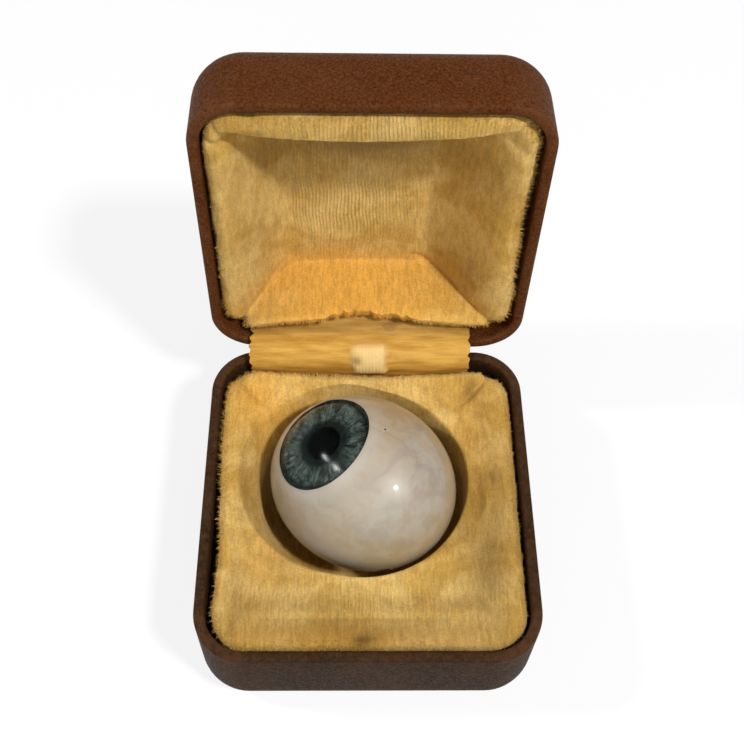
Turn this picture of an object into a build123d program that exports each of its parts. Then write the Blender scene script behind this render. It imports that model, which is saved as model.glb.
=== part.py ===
"""A prosthetic glass eye in its hinged, velvet-lined keeping case, shown with the lid open.

Millimetres, +Z up. The origin is the middle of the base's underside. X runs across the case,
-Y is the side that opens, and the hinge is along the +Y edge. The lid is drawn shut, in the
place it closes to, and is then turned open about the hinge line.
"""
import os
from math import radians, sin

from build123d import *

# The case outside
CASE_WIDTH = 40.0
CASE_DEPTH = 41.5
CORNER_R = 6.0
BASE_HEIGHT = 15.5
BASE_EDGE_R = 5.7
LID_HEIGHT = 12.0
LID_EDGE_R = 5.4
SEAM_GAP = 0.3
OPEN_ANGLE = 93.0

# The walls: leatherette glued over a pressed steel shell, and turned in over its rim
COVER_T = 0.3
SHELL_T = 0.7
TURN_IN_T = 0.3
TURN_IN_DEPTH = 2.8

# The hinge
HINGE_BEHIND = 0.1
KNUCKLE_R = 0.9
PIN_R = 0.4
PIN_PLAY = 0.03
PIN_OVERHANG = 0.4
BASE_KNUCKLES = ((-10.4, -6.7), (6.7, 10.4))
LID_KNUCKLES = ((-6.5, -3.2), (3.2, 6.5))
LEAF_T = 0.4
LEAF_HALF_WIDTH = 10.4
LEAF_HEIGHT = 4.9
NOTCH_DEPTH = 1.8
NOTCH_PLAY = 0.9
CAM_REACH = 1.0
CAM_CORNER_R = 0.25
CAM_HALF_WIDTH = 2.6

# The rivets
RIVET_R = 0.45
RIVET_PLAY = 0.05
RIVET_HEAD_R = 0.8
RIVET_HEAD_T = 0.25
RIVET_X = 8.5
RIVET_DROP = 2.7

# The snap spring, which bears on the cam
SPRING_T = 0.2
SPRING_HALF_WIDTH = 2.6
SPRING_TAIL = 5.9
SPRING_BEND_R = 0.6
SPRING_PLAY = 0.1
SPRING_RIVET_UP = 2.2

# The sateen strip inside the hinge, and the leatherette spine outside it
STRIP_T = 0.3
STRIP_HALF_WIDTH = 15.5
STRIP_BEND_R = 0.9
STRIP_TAIL = 2.9
SPINE_T = 0.3
SPINE_HALF_WIDTH = 13.0
SPINE_BEND_R = 0.5
SPINE_TAIL = 3.0
GLUE_LINE = 0.05

# The linings: card, wadding and velvet
CARD_T = 0.5
CARD_EDGE_R = 2.0
VELVET_T = 0.9
LINING_GAP = 0.35
WADDING_PLAY = 0.1
LINING_SINK = 0.2
PILE_EDGE_R = 1.3
LINING_STRIP_GAP = 0.3
DIP_DEPTH = 0.4
DIP_RADIUS = 120.0
CREASE_R = 0.7
CREASE_LENGTH = 7.0
CREASE_DROP = 0.25
SOCKET_LIP_R = 1.6
SOCKET_BEND_R = 7.2

# The hollow of the lid's lining
HOLLOW_MOUTH_WIDTH = 32.0
HOLLOW_MOUTH_DEPTH = 31.2
HOLLOW_FLOOR_WIDTH = 23.0
HOLLOW_FLOOR_DEPTH = 22.0
HOLLOW_MOUTH_R = 6.0
HOLLOW_FLOOR_R = 5.0
HOLLOW_SOFT_R = 3.5
HOLLOW_TO_HINGE = 0.4

# The eye: a plump hollow body of opal glass, longer one way than the other
EYE_X = -0.65
EYE_Y = 2.75
EYE_LONG_R = 12.6
EYE_ROUND_R = 10.6
EYE_BACK = 6.8
EYE_BACK_R = 2.6
EYE_WALL = 1.3
GAZE = (-0.481, 0.08, 0.873)
LONG_WAY = (0.667, -0.613, 0.424)
EYE_SOCKET_PLAY = 0.35
EYE_LOW = 10.0
EYE_GIRTH = 12.35

# The iris, set in a pocket under a clear cornea
IRIS_POCKET_R = 6.3
IRIS_POCKET_Z = 7.0
IRIS_T = 0.5
LIMBUS_WIDTH = 0.5
PUPIL_R = 1.9
GLASS_PLAY = 0.05
CORNEA_APEX = 11.1
CORNEA_CURVE_R = 8.4

# The scar where the blowing tube was sealed off
SEAL_R = 0.8
SEAL_WAY = (0.304, -0.85, -0.44)

FAR = 60.0

# Places worked out from the sizes above
BACK_Y = CASE_DEPTH / 2
SHELL_IN = COVER_T + SHELL_T
RIM_IN = SHELL_IN + TURN_IN_T
WALL_FACE_Y = BACK_Y - SHELL_IN
LEAF_FACE_Y = WALL_FACE_Y - LEAF_T
HINGE_Y = BACK_Y + HINGE_BEHIND
HINGE_Z = BASE_HEIGHT + SEAM_GAP / 2
LID_RIM_Z = BASE_HEIGHT + SEAM_GAP
LID_CROWN_Z = LID_RIM_Z + LID_HEIGHT
NOTCH_Z = BASE_HEIGHT - NOTCH_DEPTH
NOTCH_HALF_WIDTH = LEAF_HALF_WIDTH + NOTCH_PLAY
LEAF_TOP_Z = NOTCH_Z + LEAF_T / 2
CARD_Z = SHELL_IN + GLUE_LINE
LINING_FLOOR_Z = CARD_Z + CARD_T + GLUE_LINE
LINING_IN = RIM_IN + LINING_GAP
LINING_TOP_Z = BASE_HEIGHT - LINING_SINK
SOCKET_FLOOR_Z = LINING_FLOOR_Z + VELVET_T
EYE_Z = SOCKET_FLOOR_Z + EYE_SOCKET_PLAY + EYE_LOW
SOCKET_R = EYE_GIRTH + EYE_SOCKET_PLAY
RIVET_Z = LEAF_TOP_Z - RIVET_DROP
CAM_FACE_Y = HINGE_Y - CAM_REACH
SPRING_FACE_Y = LEAF_FACE_Y - GLUE_LINE - SPRING_T / 2
SPRING_LOW_Z = LEAF_TOP_Z - SPRING_TAIL
SPRING_REST_Y = CAM_FACE_Y - SPRING_PLAY - SPRING_T / 2
STRIP_Y = SPRING_FACE_Y - SPRING_T / 2 - RIVET_HEAD_T - GLUE_LINE - STRIP_T / 2
LINING_BACK_Y = STRIP_Y - STRIP_T / 2 - LINING_STRIP_GAP
HINGE_LINE = Axis((0, HINGE_Y, HINGE_Z), (1, 0, 0))
EYE_PLANE = Plane(origin=(EYE_X, EYE_Y, EYE_Z), x_dir=LONG_WAY, z_dir=GAZE)


def tray_block(inset, floor, top, edge_r):
    """Solid block inside the case's outline by inset, from floor to top, its lower edge rounded."""
    outline = RectangleRounded(CASE_WIDTH - 2 * inset, CASE_DEPTH - 2 * inset, CORNER_R - inset)
    block = extrude(Pos(0, 0, floor) * outline, top - floor)
    return fillet(block.edges().group_by(Axis.Z)[0], edge_r - inset)


def shut_lid(tray):
    """Turn a piece drawn crown-down on z = 0 into its place in the shut lid."""
    return tray.rotate(Axis.X, 180).translate((0, 0, LID_CROWN_Z))


def open_lid(piece):
    """Turn a piece of the shut lid to where it rests with the case open."""
    return piece.rotate(HINGE_LINE, -OPEN_ANGLE)


def back_notch(low, high):
    """Block that opens the back wall for the hinge barrel, between two heights."""
    size_y = 2 * RIM_IN
    block = Box(2 * NOTCH_HALF_WIDTH, size_y, high - low)
    return Pos(0, BACK_Y, (low + high) / 2) * block


def turn_in_gap(low, high):
    """Block that clears the turned-in leatherette off the wall where a hinge leaf lies."""
    block = Box(2 * NOTCH_HALF_WIDTH, 2 * TURN_IN_T, high - low)
    return Pos(0, WALL_FACE_Y - TURN_IN_T, (low + high) / 2) * block


def over_hinge(shape):
    """Mirror a piece of the base side into the same piece of the shut lid's side."""
    return mirror(shape, Plane.XY.offset(HINGE_Z))


def steel_shell(height, edge_r):
    """Pressed steel tray that stiffens one half of the case, open at the top."""
    outside = tray_block(COVER_T, COVER_T, height - COVER_T, edge_r)
    inside = tray_block(SHELL_IN, SHELL_IN, height + COVER_T, edge_r)
    return outside - inside


def leather_cover(height, edge_r):
    """Leatherette skin round a shell, over its rim and a little way down inside."""
    outside = tray_block(0, 0, height, edge_r)
    shell = tray_block(COVER_T, COVER_T, height - COVER_T, edge_r)
    mouth_z = height - TURN_IN_DEPTH
    outline = RectangleRounded(
        CASE_WIDTH - 2 * SHELL_IN, CASE_DEPTH - 2 * SHELL_IN, CORNER_R - SHELL_IN
    )
    turned = extrude(Pos(0, 0, mouth_z) * outline, TURN_IN_DEPTH)
    mouth = RectangleRounded(CASE_WIDTH - 2 * RIM_IN, CASE_DEPTH - 2 * RIM_IN, CORNER_R - RIM_IN)
    hole = extrude(Pos(0, 0, mouth_z - COVER_T) * mouth, TURN_IN_DEPTH + 2 * COVER_T)
    return outside - shell - hole + (turned - hole)


def rivet_pair(height_z):
    """Two rivets that fix a leaf to its wall, at one height."""
    pair = [rivet(side * RIVET_X, height_z, LEAF_FACE_Y) for side in (-1, 1)]
    return Compound(children=pair)


def rivet(x, z, face_y):
    """One rivet from the shell's outer face to a round head on the inside."""
    outer_y = BACK_Y - COVER_T
    shank = Cylinder(RIVET_R, outer_y - face_y, align=(Align.CENTER, Align.CENTER, Align.MIN))
    head = Cylinder(RIVET_HEAD_R, RIVET_HEAD_T, align=(Align.CENTER, Align.CENTER, Align.MAX))
    seat = Plane(origin=(x, face_y, z), z_dir=(0, 1, 0))
    return seat * (shank + head)


def rivet_holes(places):
    """Cylinders that open a wall for rivets at the given (x, z) places."""
    holes = []
    for x, z in places:
        seat = Plane(origin=(x, WALL_FACE_Y, z), z_dir=(0, 1, 0))
        holes.append(seat * Cylinder(RIVET_R + RIVET_PLAY, 4 * SHELL_IN))
    return holes


def base_rivet_places():
    """Where rivets pass the base's wall: two for the leaf and one for the spring."""
    spring_z = SPRING_LOW_Z + SPRING_RIVET_UP
    return [(-RIVET_X, RIVET_Z), (RIVET_X, RIVET_Z), (0, spring_z)]


def lid_rivet_places():
    """Where rivets pass the shut lid's wall."""
    z = 2 * HINGE_Z - RIVET_Z
    return [(-RIVET_X, z), (RIVET_X, z)]


def base_shell():
    """Steel tray of the base, notched for the barrel and drilled for the rivets."""
    tray = steel_shell(BASE_HEIGHT, BASE_EDGE_R)
    return tray - back_notch(NOTCH_Z, BASE_HEIGHT + SEAM_GAP) - rivet_holes(base_rivet_places())


def base_cover():
    """Leatherette of the base, cut away at the hinge."""
    skin = leather_cover(BASE_HEIGHT, BASE_EDGE_R)
    skin -= back_notch(NOTCH_Z, BASE_HEIGHT + SEAM_GAP)
    return skin - turn_in_gap(BASE_HEIGHT - 2 * TURN_IN_DEPTH, BASE_HEIGHT + SEAM_GAP)


def lid_shell():
    """Steel tray of the lid, shut, notched and drilled like the base."""
    tray = shut_lid(steel_shell(LID_HEIGHT, LID_EDGE_R))
    notch = over_hinge(back_notch(NOTCH_Z, BASE_HEIGHT + SEAM_GAP))
    return tray - notch - rivet_holes(lid_rivet_places())


def lid_cover():
    """Leatherette of the lid, shut, cut away at the hinge."""
    skin = shut_lid(leather_cover(LID_HEIGHT, LID_EDGE_R))
    skin -= over_hinge(back_notch(NOTCH_Z, BASE_HEIGHT + SEAM_GAP))
    return skin - over_hinge(turn_in_gap(BASE_HEIGHT - 2 * TURN_IN_DEPTH, BASE_HEIGHT + SEAM_GAP))


def knuckle_section():
    """Section of a rolled knuckle and the arm that joins it to its leaf, on the base's side."""
    foot = (LEAF_FACE_Y + LEAF_T / 2, LEAF_TOP_Z - LEAF_T / 2)
    head = (HINGE_Y - (KNUCKLE_R + PIN_R) / 2, HINGE_Z)
    return trace(Line(foot, head), LEAF_T) + Pos(HINGE_Y, HINGE_Z) * Circle(KNUCKLE_R)


def hinge_leaf(knuckles):
    """Leaf with its rolled knuckles, drawn on the base's side of the hinge."""
    plate = Box(2 * LEAF_HALF_WIDTH, LEAF_T, LEAF_HEIGHT)
    leaf = Pos(0, LEAF_FACE_Y + LEAF_T / 2, LEAF_TOP_Z - LEAF_HEIGHT / 2) * plate
    for low, high in knuckles:
        leaf += extrude(Plane.YZ.offset(low) * knuckle_section(), high - low)
    return leaf


def pin_bore():
    """Running hole for the hinge pin, along the whole barrel."""
    return HINGE_LINE.location * Cylinder(PIN_R + PIN_PLAY, 3 * LEAF_HALF_WIDTH)


def hinge_leaf_base():
    """Base leaf, with a rivet hole near each end and one for the spring."""
    return hinge_leaf(BASE_KNUCKLES) - pin_bore() - rivet_holes(base_rivet_places())


def hinge_leaf_lid():
    """Lid leaf, shut, with the cornered cam in the middle that the spring bears on."""
    square = Rectangle(CAM_REACH, CAM_REACH, align=Align.MIN)
    corner = fillet(square.vertices().sort_by_distance((0, 0))[-1], CAM_CORNER_R)
    section = knuckle_section() + Pos(HINGE_Y, HINGE_Z) * Rot(0, 0, 90) * corner
    cam = extrude(Plane.YZ * section, CAM_HALF_WIDTH, both=True)
    leaf = over_hinge(hinge_leaf(LID_KNUCKLES) + cam)
    return leaf - pin_bore() - rivet_holes(lid_rivet_places())


def hinge_pin():
    """Steel pin through all the knuckles, its ends domed."""
    half = BASE_KNUCKLES[1][1] + PIN_OVERHANG
    pin = HINGE_LINE.location * Cylinder(PIN_R, 2 * half)
    ends = pin.edges().filter_by(GeomType.CIRCLE)
    return fillet(ends, PIN_R / 2)


def band(points, bend_r, thickness, half_width):
    """Strip of even thickness along points given as (y, z), and as wide as asked across x."""
    path = FilletPolyline(*points, radius=bend_r)
    return extrude(Plane.YZ * trace(path, thickness), half_width, both=True)


def snap_spring():
    """Flat steel spring, riveted low on the base leaf, that rises to bear on the cam."""
    lean_z = LEAF_TOP_Z + 2 * SPRING_T
    tip_z = HINGE_Z + CAM_REACH - SPRING_PLAY
    points = [
        (SPRING_FACE_Y, SPRING_LOW_Z),
        (SPRING_FACE_Y, lean_z),
        (SPRING_REST_Y, lean_z + 4 * SPRING_T),
        (SPRING_REST_Y, tip_z),
        (SPRING_REST_Y - 2 * SPRING_T, tip_z + 2 * SPRING_T),
    ]
    leaf = band(points, [SPRING_BEND_R, SPRING_BEND_R, SPRING_T], SPRING_T, SPRING_HALF_WIDTH)
    return leaf - rivet_holes(base_rivet_places()[2:])


def spring_rivet():
    """Rivet that holds the spring's tail to the leaf and the wall."""
    x, z = base_rivet_places()[2]
    return rivet(x, z, SPRING_FACE_Y - SPRING_T / 2)


def hinge_strip():
    """Sateen strip that hides the hinge inside, from behind one lining to behind the other."""
    crown_z = HINGE_Z + CAM_REACH + RIVET_HEAD_R + STRIP_T
    lid_y = HINGE_Y + CAM_REACH
    far_y = lid_y + STRIP_TAIL
    sag = STRIP_T
    points = [
        (STRIP_Y, LEAF_TOP_Z - STRIP_TAIL / 2),
        (STRIP_Y - sag, BASE_HEIGHT),
        (STRIP_Y, crown_z - CAM_REACH),
        (STRIP_Y + CAM_REACH, crown_z),
        (lid_y - STRIP_T, crown_z + sag / 2),
        (far_y, crown_z - sag - (far_y - HINGE_Y) * sin(radians(OPEN_ANGLE - 90)) / 2),
    ]
    return band(points, [STRIP_BEND_R] * 4, STRIP_T, STRIP_HALF_WIDTH)


def spine_strip():
    """Leatherette spine outside the hinge, glued to the back of the base and of the lid."""
    skin = SPINE_T / 2 + GLUE_LINE
    base_y = BACK_Y + skin
    turn_z = HINGE_Z - KNUCKLE_R - SPINE_T - GLUE_LINE
    slope = sin(radians(OPEN_ANGLE - 90))
    barrel_y = HINGE_Y + KNUCKLE_R + SPINE_T
    lid_z = HINGE_Z + HINGE_BEHIND - skin
    far_y = barrel_y + SPINE_TAIL + SPINE_BEND_R
    points = [
        (base_y, turn_z - SPINE_TAIL),
        (base_y, turn_z - SPINE_BEND_R / 2),
        (barrel_y - SPINE_T, turn_z + SPINE_T),
        (barrel_y + SPINE_BEND_R, lid_z - (barrel_y + SPINE_BEND_R - HINGE_Y) * slope),
        (far_y, lid_z - (far_y - HINGE_Y) * slope),
    ]
    return band(points, [SPINE_BEND_R, SPINE_BEND_R, SPINE_BEND_R], SPINE_T, SPINE_HALF_WIDTH)


def card(edge_r):
    """Stiff card glued to the flat middle of a shell, drawn in the tray's frame."""
    flat = edge_r - SHELL_IN
    width = CASE_WIDTH - 2 * (SHELL_IN + flat)
    depth = CASE_DEPTH - 2 * (SHELL_IN + flat)
    return extrude(Pos(0, 0, CARD_Z) * RectangleRounded(width, depth, CARD_EDGE_R), CARD_T)


def pad_block(extra, top, edge_r, side, dip=DIP_DEPTH):
    """Outer form of a lining pad, smaller all round by extra; side is the hinge's way along y."""
    front_y = CASE_DEPTH / 2 - LINING_IN - extra
    hinge_y = LINING_BACK_Y - extra - DIP_DEPTH + dip
    corner_r = CORNER_R - LINING_IN - extra
    outline = RectangleRounded(CASE_WIDTH - 2 * (LINING_IN + extra), front_y + hinge_y, corner_r)
    outline = Pos(0, side * (hinge_y - front_y) / 2) * outline
    if dip:
        outline -= Pos(0, side * (hinge_y - dip + DIP_RADIUS)) * Circle(DIP_RADIUS)
    floor = LINING_FLOOR_Z + extra
    block = extrude(Pos(0, 0, floor) * outline, top - floor)
    return fillet(block.edges().group_by(Axis.Z)[0], edge_r - LINING_IN - extra)


def socket_tool(extra, lip_r=0):
    """Round hollow that the eye turns in, wider by extra, its mouth opened out by a lip radius."""
    floor_z = SOCKET_FLOOR_Z - extra
    side_r = SOCKET_R + extra
    bend_r = SOCKET_BEND_R + extra
    lip_z = LINING_TOP_Z - lip_r
    outline = Polyline((0, FAR / 2), (0, floor_z), (side_r - bend_r, floor_z))
    outline += CenterArc((side_r - bend_r, floor_z + bend_r), bend_r, 270, 90)
    outline += Line((side_r, floor_z + bend_r), (side_r, lip_z))
    if lip_r:
        outline += CenterArc((side_r + lip_r, lip_z), lip_r, 180, -90)
    mouth_r = side_r + lip_r
    outline += Polyline((mouth_r, LINING_TOP_Z), (mouth_r, FAR / 2), (0, FAR / 2))
    return Pos(EYE_X, EYE_Y, 0) * revolve(make_face(Plane.XZ * outline), Axis.Z)


def crease(x, y, angle, top):
    """Soft groove where the velvet is folded at a back corner, running down towards the socket."""
    groove = Cylinder(CREASE_R, CREASE_LENGTH, rotation=(0, 90, 0))
    return Pos(x, y, top + CREASE_R - CREASE_DROP) * Rot(0, 0, angle) * groove


def soften_top(pad):
    """Draw in the upper outside edge of a pad, as the pile rolls over it."""
    return fillet(pad.edges().group_by(Axis.Z)[-1], PILE_EDGE_R)


def base_velvet():
    """Velvet of the base: a crowned pad skin with drawn-in edges, a socket and corner creases."""
    skin = soften_top(pad_block(0, LINING_TOP_Z, BASE_EDGE_R, 1))
    skin -= socket_tool(0, SOCKET_LIP_R)
    core = base_core(VELVET_T)
    corner_x = STRIP_HALF_WIDTH - CREASE_LENGTH / 3
    corner_y = LINING_BACK_Y - CREASE_LENGTH / 3
    left = crease(-corner_x, corner_y, -45, LINING_TOP_Z)
    right = crease(corner_x, corner_y, 45, LINING_TOP_Z)
    return skin - core - left - right


def base_core(extra, dip=DIP_DEPTH):
    """Room inside the base's velvet, which its wadding fills."""
    top = LINING_TOP_Z - extra
    return pad_block(extra, top, BASE_EDGE_R, 1, dip) - socket_tool(extra)


def base_wadding():
    """Cotton wadding under the base's velvet, packed round the socket."""
    return base_core(VELVET_T + WADDING_PLAY, 0)


def hollow_tool(extra):
    """Dished hollow of the lid's lining in the tray's frame, wider and deeper by extra."""
    rim_z = LID_HEIGHT + GLUE_LINE
    floor_z = LINING_FLOOR_Z + VELVET_T - extra
    mouth = RectangleRounded(
        HOLLOW_MOUTH_WIDTH + 2 * extra, HOLLOW_MOUTH_DEPTH + 2 * extra, HOLLOW_MOUTH_R + extra
    )
    floor = RectangleRounded(
        HOLLOW_FLOOR_WIDTH + 2 * extra, HOLLOW_FLOOR_DEPTH + 2 * extra, HOLLOW_FLOOR_R + extra
    )
    place = Pos(0, -HOLLOW_TO_HINGE, 0)
    bowl = loft([place * Pos(0, 0, floor_z) * floor, place * Pos(0, 0, rim_z) * mouth])
    return fillet(bowl.edges().group_by(Axis.Z)[0], HOLLOW_SOFT_R)


def lid_core(extra, dip=DIP_DEPTH):
    """Room inside the lid's velvet, in the tray's frame."""
    top = LID_HEIGHT - LINING_SINK - extra
    return pad_block(extra, top, LID_EDGE_R, -1, dip) - hollow_tool(extra)


def lid_velvet():
    """Velvet of the lid, shut: a soft rim all round a dished hollow."""
    skin = soften_top(pad_block(0, LID_HEIGHT - LINING_SINK, LID_EDGE_R, -1))
    skin -= hollow_tool(0)
    return shut_lid(skin - lid_core(VELVET_T))


def lid_wadding():
    """Cotton wadding under the lid's velvet, shut."""
    return shut_lid(lid_core(VELVET_T + WADDING_PLAY, 0))


def eye_form(extra):
    """The eye's outer form, smaller all round by extra, in its own frame with the gaze along z."""
    long_r = EYE_LONG_R - extra
    round_r = EYE_ROUND_R - extra
    upper = Rectangle(2 * long_r, round_r, align=(Align.CENTER, Align.MIN))
    body = revolve(Ellipse(long_r, round_r) & upper, Axis.X)
    body = split(body, Plane.XY.offset(extra - EYE_BACK), keep=Keep.TOP)
    back = body.faces().sort_by(Axis.Z)[0]
    return fillet(back.edges(), EYE_BACK_R)


def gaze_column(radius, low, high):
    """Round column about the gaze, in the eye's own frame."""
    return Pos(0, 0, (low + high) / 2) * Cylinder(radius, high - low)


def eye_wall():
    """The blown wall of the eye with the iris pocket sunk in it, in its own frame."""
    inside_top = IRIS_POCKET_Z - EYE_WALL
    inside = split(eye_form(EYE_WALL), Plane.XY.offset(inside_top), keep=Keep.BOTTOM)
    return eye_form(0) - inside - gaze_column(IRIS_POCKET_R, IRIS_POCKET_Z, FAR / 2)


def seal_column(radius):
    """Column through the wall where the tube was sealed off, in the row's frame."""
    plane = Plane(origin=(EYE_X, EYE_Y, EYE_Z), z_dir=SEAL_WAY)
    column = Cylinder(radius, EYE_LONG_R, align=(Align.CENTER, Align.CENTER, Align.MIN))
    return plane * Pos(0, 0, EYE_ROUND_R / 2) * column


def eye_sclera():
    """White of the eye: hollow opal glass, flattened behind."""
    return EYE_PLANE * eye_wall() - seal_column(SEAL_R)


def eye_seal():
    """Plug of darker glass in the hole the blowing tube left."""
    return (EYE_PLANE * eye_wall()) & seal_column(SEAL_R - GLASS_PLAY)


def eye_iris():
    """Coloured glass disc with a hole for the pupil."""
    outer = IRIS_POCKET_R - LIMBUS_WIDTH - GLASS_PLAY
    disc = gaze_column(outer, IRIS_POCKET_Z, IRIS_POCKET_Z + IRIS_T)
    return EYE_PLANE * (disc - gaze_column(PUPIL_R + GLASS_PLAY, 0, FAR / 2))


def eye_pupil():
    """Black glass dot in the middle of the iris."""
    return EYE_PLANE * gaze_column(PUPIL_R, IRIS_POCKET_Z, IRIS_POCKET_Z + IRIS_T)


def eye_limbus():
    """Dark ring of glass round the iris."""
    outer = gaze_column(IRIS_POCKET_R - GLASS_PLAY, IRIS_POCKET_Z, IRIS_POCKET_Z + IRIS_T)
    inner = gaze_column(IRIS_POCKET_R - LIMBUS_WIDTH, 0, FAR / 2)
    return EYE_PLANE * (outer - inner)


def eye_cornea():
    """Clear crystal over the iris, with a dome that stands a little proud of the white."""
    low = IRIS_POCKET_Z + IRIS_T + GLASS_PLAY
    lens = eye_form(0) + Pos(0, 0, CORNEA_APEX - CORNEA_CURVE_R) * Sphere(CORNEA_CURVE_R)
    return EYE_PLANE * (lens & gaze_column(IRIS_POCKET_R - GLASS_PLAY, low, FAR / 2))


def build_parts():
    """Every piece of the object under its node's name, in place with the case open."""
    parts = {
        "base_shell": base_shell(),
        "base_cover": base_cover(),
        "base_card": card(BASE_EDGE_R),
        "base_wadding": base_wadding(),
        "base_velvet": base_velvet(),
        "hinge_leaf_base": hinge_leaf_base(),
        "hinge_rivets_base": rivet_pair(RIVET_Z),
        "hinge_pin": hinge_pin(),
        "snap_spring": snap_spring(),
        "spring_rivet": spring_rivet(),
        "hinge_strip": hinge_strip(),
        "spine_strip": spine_strip(),
        "eye_sclera": eye_sclera(),
        "eye_seal": eye_seal(),
        "eye_iris": eye_iris(),
        "eye_pupil": eye_pupil(),
        "eye_limbus": eye_limbus(),
        "eye_cornea": eye_cornea(),
    }
    shut = {
        "lid_shell": lid_shell(),
        "lid_cover": lid_cover(),
        "lid_card": shut_lid(card(LID_EDGE_R)),
        "lid_wadding": lid_wadding(),
        "lid_velvet": lid_velvet(),
        "hinge_leaf_lid": hinge_leaf_lid(),
        "hinge_rivets_lid": over_hinge(rivet_pair(RIVET_Z)),
    }
    for name, piece in shut.items():
        parts[name] = open_lid(piece)
    return parts


os.makedirs("parts", exist_ok=True)
for node, solid in build_parts().items():
    export_step(solid, os.path.join("parts", node + ".step"))
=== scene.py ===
"""The looks of a prosthetic glass eye that lies in its hinged, velvet-lined keeping case.

New pieces are modelled in millimetres in the part's own frame, and Piece.settle brings each mesh
to metres. The lid's pieces are modelled shut and are then turned open about the hinge line.
"""

import logging
import math
from dataclasses import dataclass, field, replace
from enum import Enum
from typing import Callable

import bmesh
import bpy
import numpy as np
from mathutils import Euler, Matrix, Vector, noise


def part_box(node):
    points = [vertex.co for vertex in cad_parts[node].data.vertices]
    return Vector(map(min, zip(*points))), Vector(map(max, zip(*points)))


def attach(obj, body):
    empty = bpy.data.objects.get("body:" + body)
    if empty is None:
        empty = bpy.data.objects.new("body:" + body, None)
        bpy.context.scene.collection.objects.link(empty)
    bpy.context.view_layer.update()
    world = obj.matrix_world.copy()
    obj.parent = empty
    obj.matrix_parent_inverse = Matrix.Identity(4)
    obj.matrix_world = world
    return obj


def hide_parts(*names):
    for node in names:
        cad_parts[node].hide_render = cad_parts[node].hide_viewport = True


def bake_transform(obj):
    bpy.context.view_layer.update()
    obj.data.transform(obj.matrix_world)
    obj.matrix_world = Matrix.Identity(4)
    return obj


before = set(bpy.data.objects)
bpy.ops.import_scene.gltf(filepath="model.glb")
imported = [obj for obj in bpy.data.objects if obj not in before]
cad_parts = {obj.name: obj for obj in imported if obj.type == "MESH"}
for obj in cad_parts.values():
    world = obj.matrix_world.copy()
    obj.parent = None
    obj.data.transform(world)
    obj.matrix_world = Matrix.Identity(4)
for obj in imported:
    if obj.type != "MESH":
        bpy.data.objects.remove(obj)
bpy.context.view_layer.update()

MM = 0.001
HINGE_Y = 20.85
HINGE_Z = 15.65
OPEN_ANGLE = 93.0
SHUT_TO_OPEN = (
    Matrix.Translation((0.0, HINGE_Y, HINGE_Z))
    @ Matrix.Rotation(math.radians(-OPEN_ANGLE), 4, "X")
    @ Matrix.Translation((0.0, -HINGE_Y, -HINGE_Z))
)

Colour = tuple[float, float, float, float]
Place = tuple[float, float, float]
Spot = tuple[float, float]
Rings = list[tuple[np.ndarray, np.ndarray]]

log = logging.getLogger("glass_eye")


class Body(Enum):
    """The bodies of the part that a piece can ride on."""

    BASE = "case_base"
    LID = "lid"
    EYE = "eye"


class Kind(Enum):
    """What an edit-mode operator takes hold of."""

    VERT = "verts"
    EDGE = "edges"
    FACE = "faces"


# Small helpers for numbers

def linear(level: float) -> float:
    """Turn a screen level, 0 to 255, into the linear level that a shader takes."""
    share = level / 255.0
    return share / 12.92 if share <= 0.04045 else ((share + 0.055) / 1.055) ** 2.4


def tint(red: float, green: float, blue: float) -> Colour:
    """Turn a colour as seen on a screen, 0 to 255, into the linear colour a shader takes."""
    return linear(red), linear(green), linear(blue), 1.0


def smooth(share: np.ndarray) -> np.ndarray:
    """Ease a share from 0 to 1, held at both ends."""
    held = np.clip(share, 0.0, 1.0)
    return held * held * (3.0 - 2.0 * held)


def soft_min(first: np.ndarray, second: np.ndarray, blend: float) -> np.ndarray:
    """Give the smaller of two fields, rounded where they meet over the blend length."""
    share = np.clip(0.5 + 0.5 * (second - first) / blend, 0.0, 1.0)
    return second + (first - second) * share - blend * share * (1.0 - share)


def ripple(points: np.ndarray, wavelength: float, seed: float = 0.0) -> np.ndarray:
    """Smooth noise from -1 to 1 at each point, with bumps about a wavelength apart."""
    shift = Vector((seed, 0.7 * seed, -0.4 * seed))
    return np.array([noise.noise(Vector(p) / wavelength + shift) for p in points])


@dataclass(frozen=True)
class Patch:
    """A soft-edged spot on a surface, in the plane of x and y."""

    x: float
    y: float
    reach_x: float
    reach_y: float
    strength: float

    def over(self, x: np.ndarray, y: np.ndarray) -> np.ndarray:
        """Give the patch's strength at each place.

        Args:
            x: The places' x.
            y: The places' y.

        Returns:
            A value for each place, the strength in the middle and 0 far off.
        """
        across = ((x - self.x) / self.reach_x) ** 2
        along = ((y - self.y) / self.reach_y) ** 2
        return self.strength * np.exp(-across - along)


@dataclass(frozen=True)
class Fold:
    """A groove in a soft surface along a straight line, fading out at its ends."""

    start: Spot
    end: Spot
    width: float
    depth: float

    def over(self, x: np.ndarray, y: np.ndarray) -> np.ndarray:
        """Give the groove's depth at each place.

        Args:
            x: The places' x.
            y: The places' y.

        Returns:
            A depth in millimetres for each place.
        """
        way = np.subtract(self.end, self.start)
        length = float(np.hypot(*way))
        way = way / length
        along = (x - self.start[0]) * way[0] + (y - self.start[1]) * way[1]
        aside = (y - self.start[1]) * way[0] - (x - self.start[0]) * way[1]
        middle = np.clip(along / length, 0.0, 1.0)
        beyond = along - middle * length
        fade = np.sin(np.pi * np.clip(0.12 + 0.76 * middle, 0.0, 1.0))
        return self.depth * fade * np.exp(-(aside**2 + beyond**2) / self.width**2)


# Modelling

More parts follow.
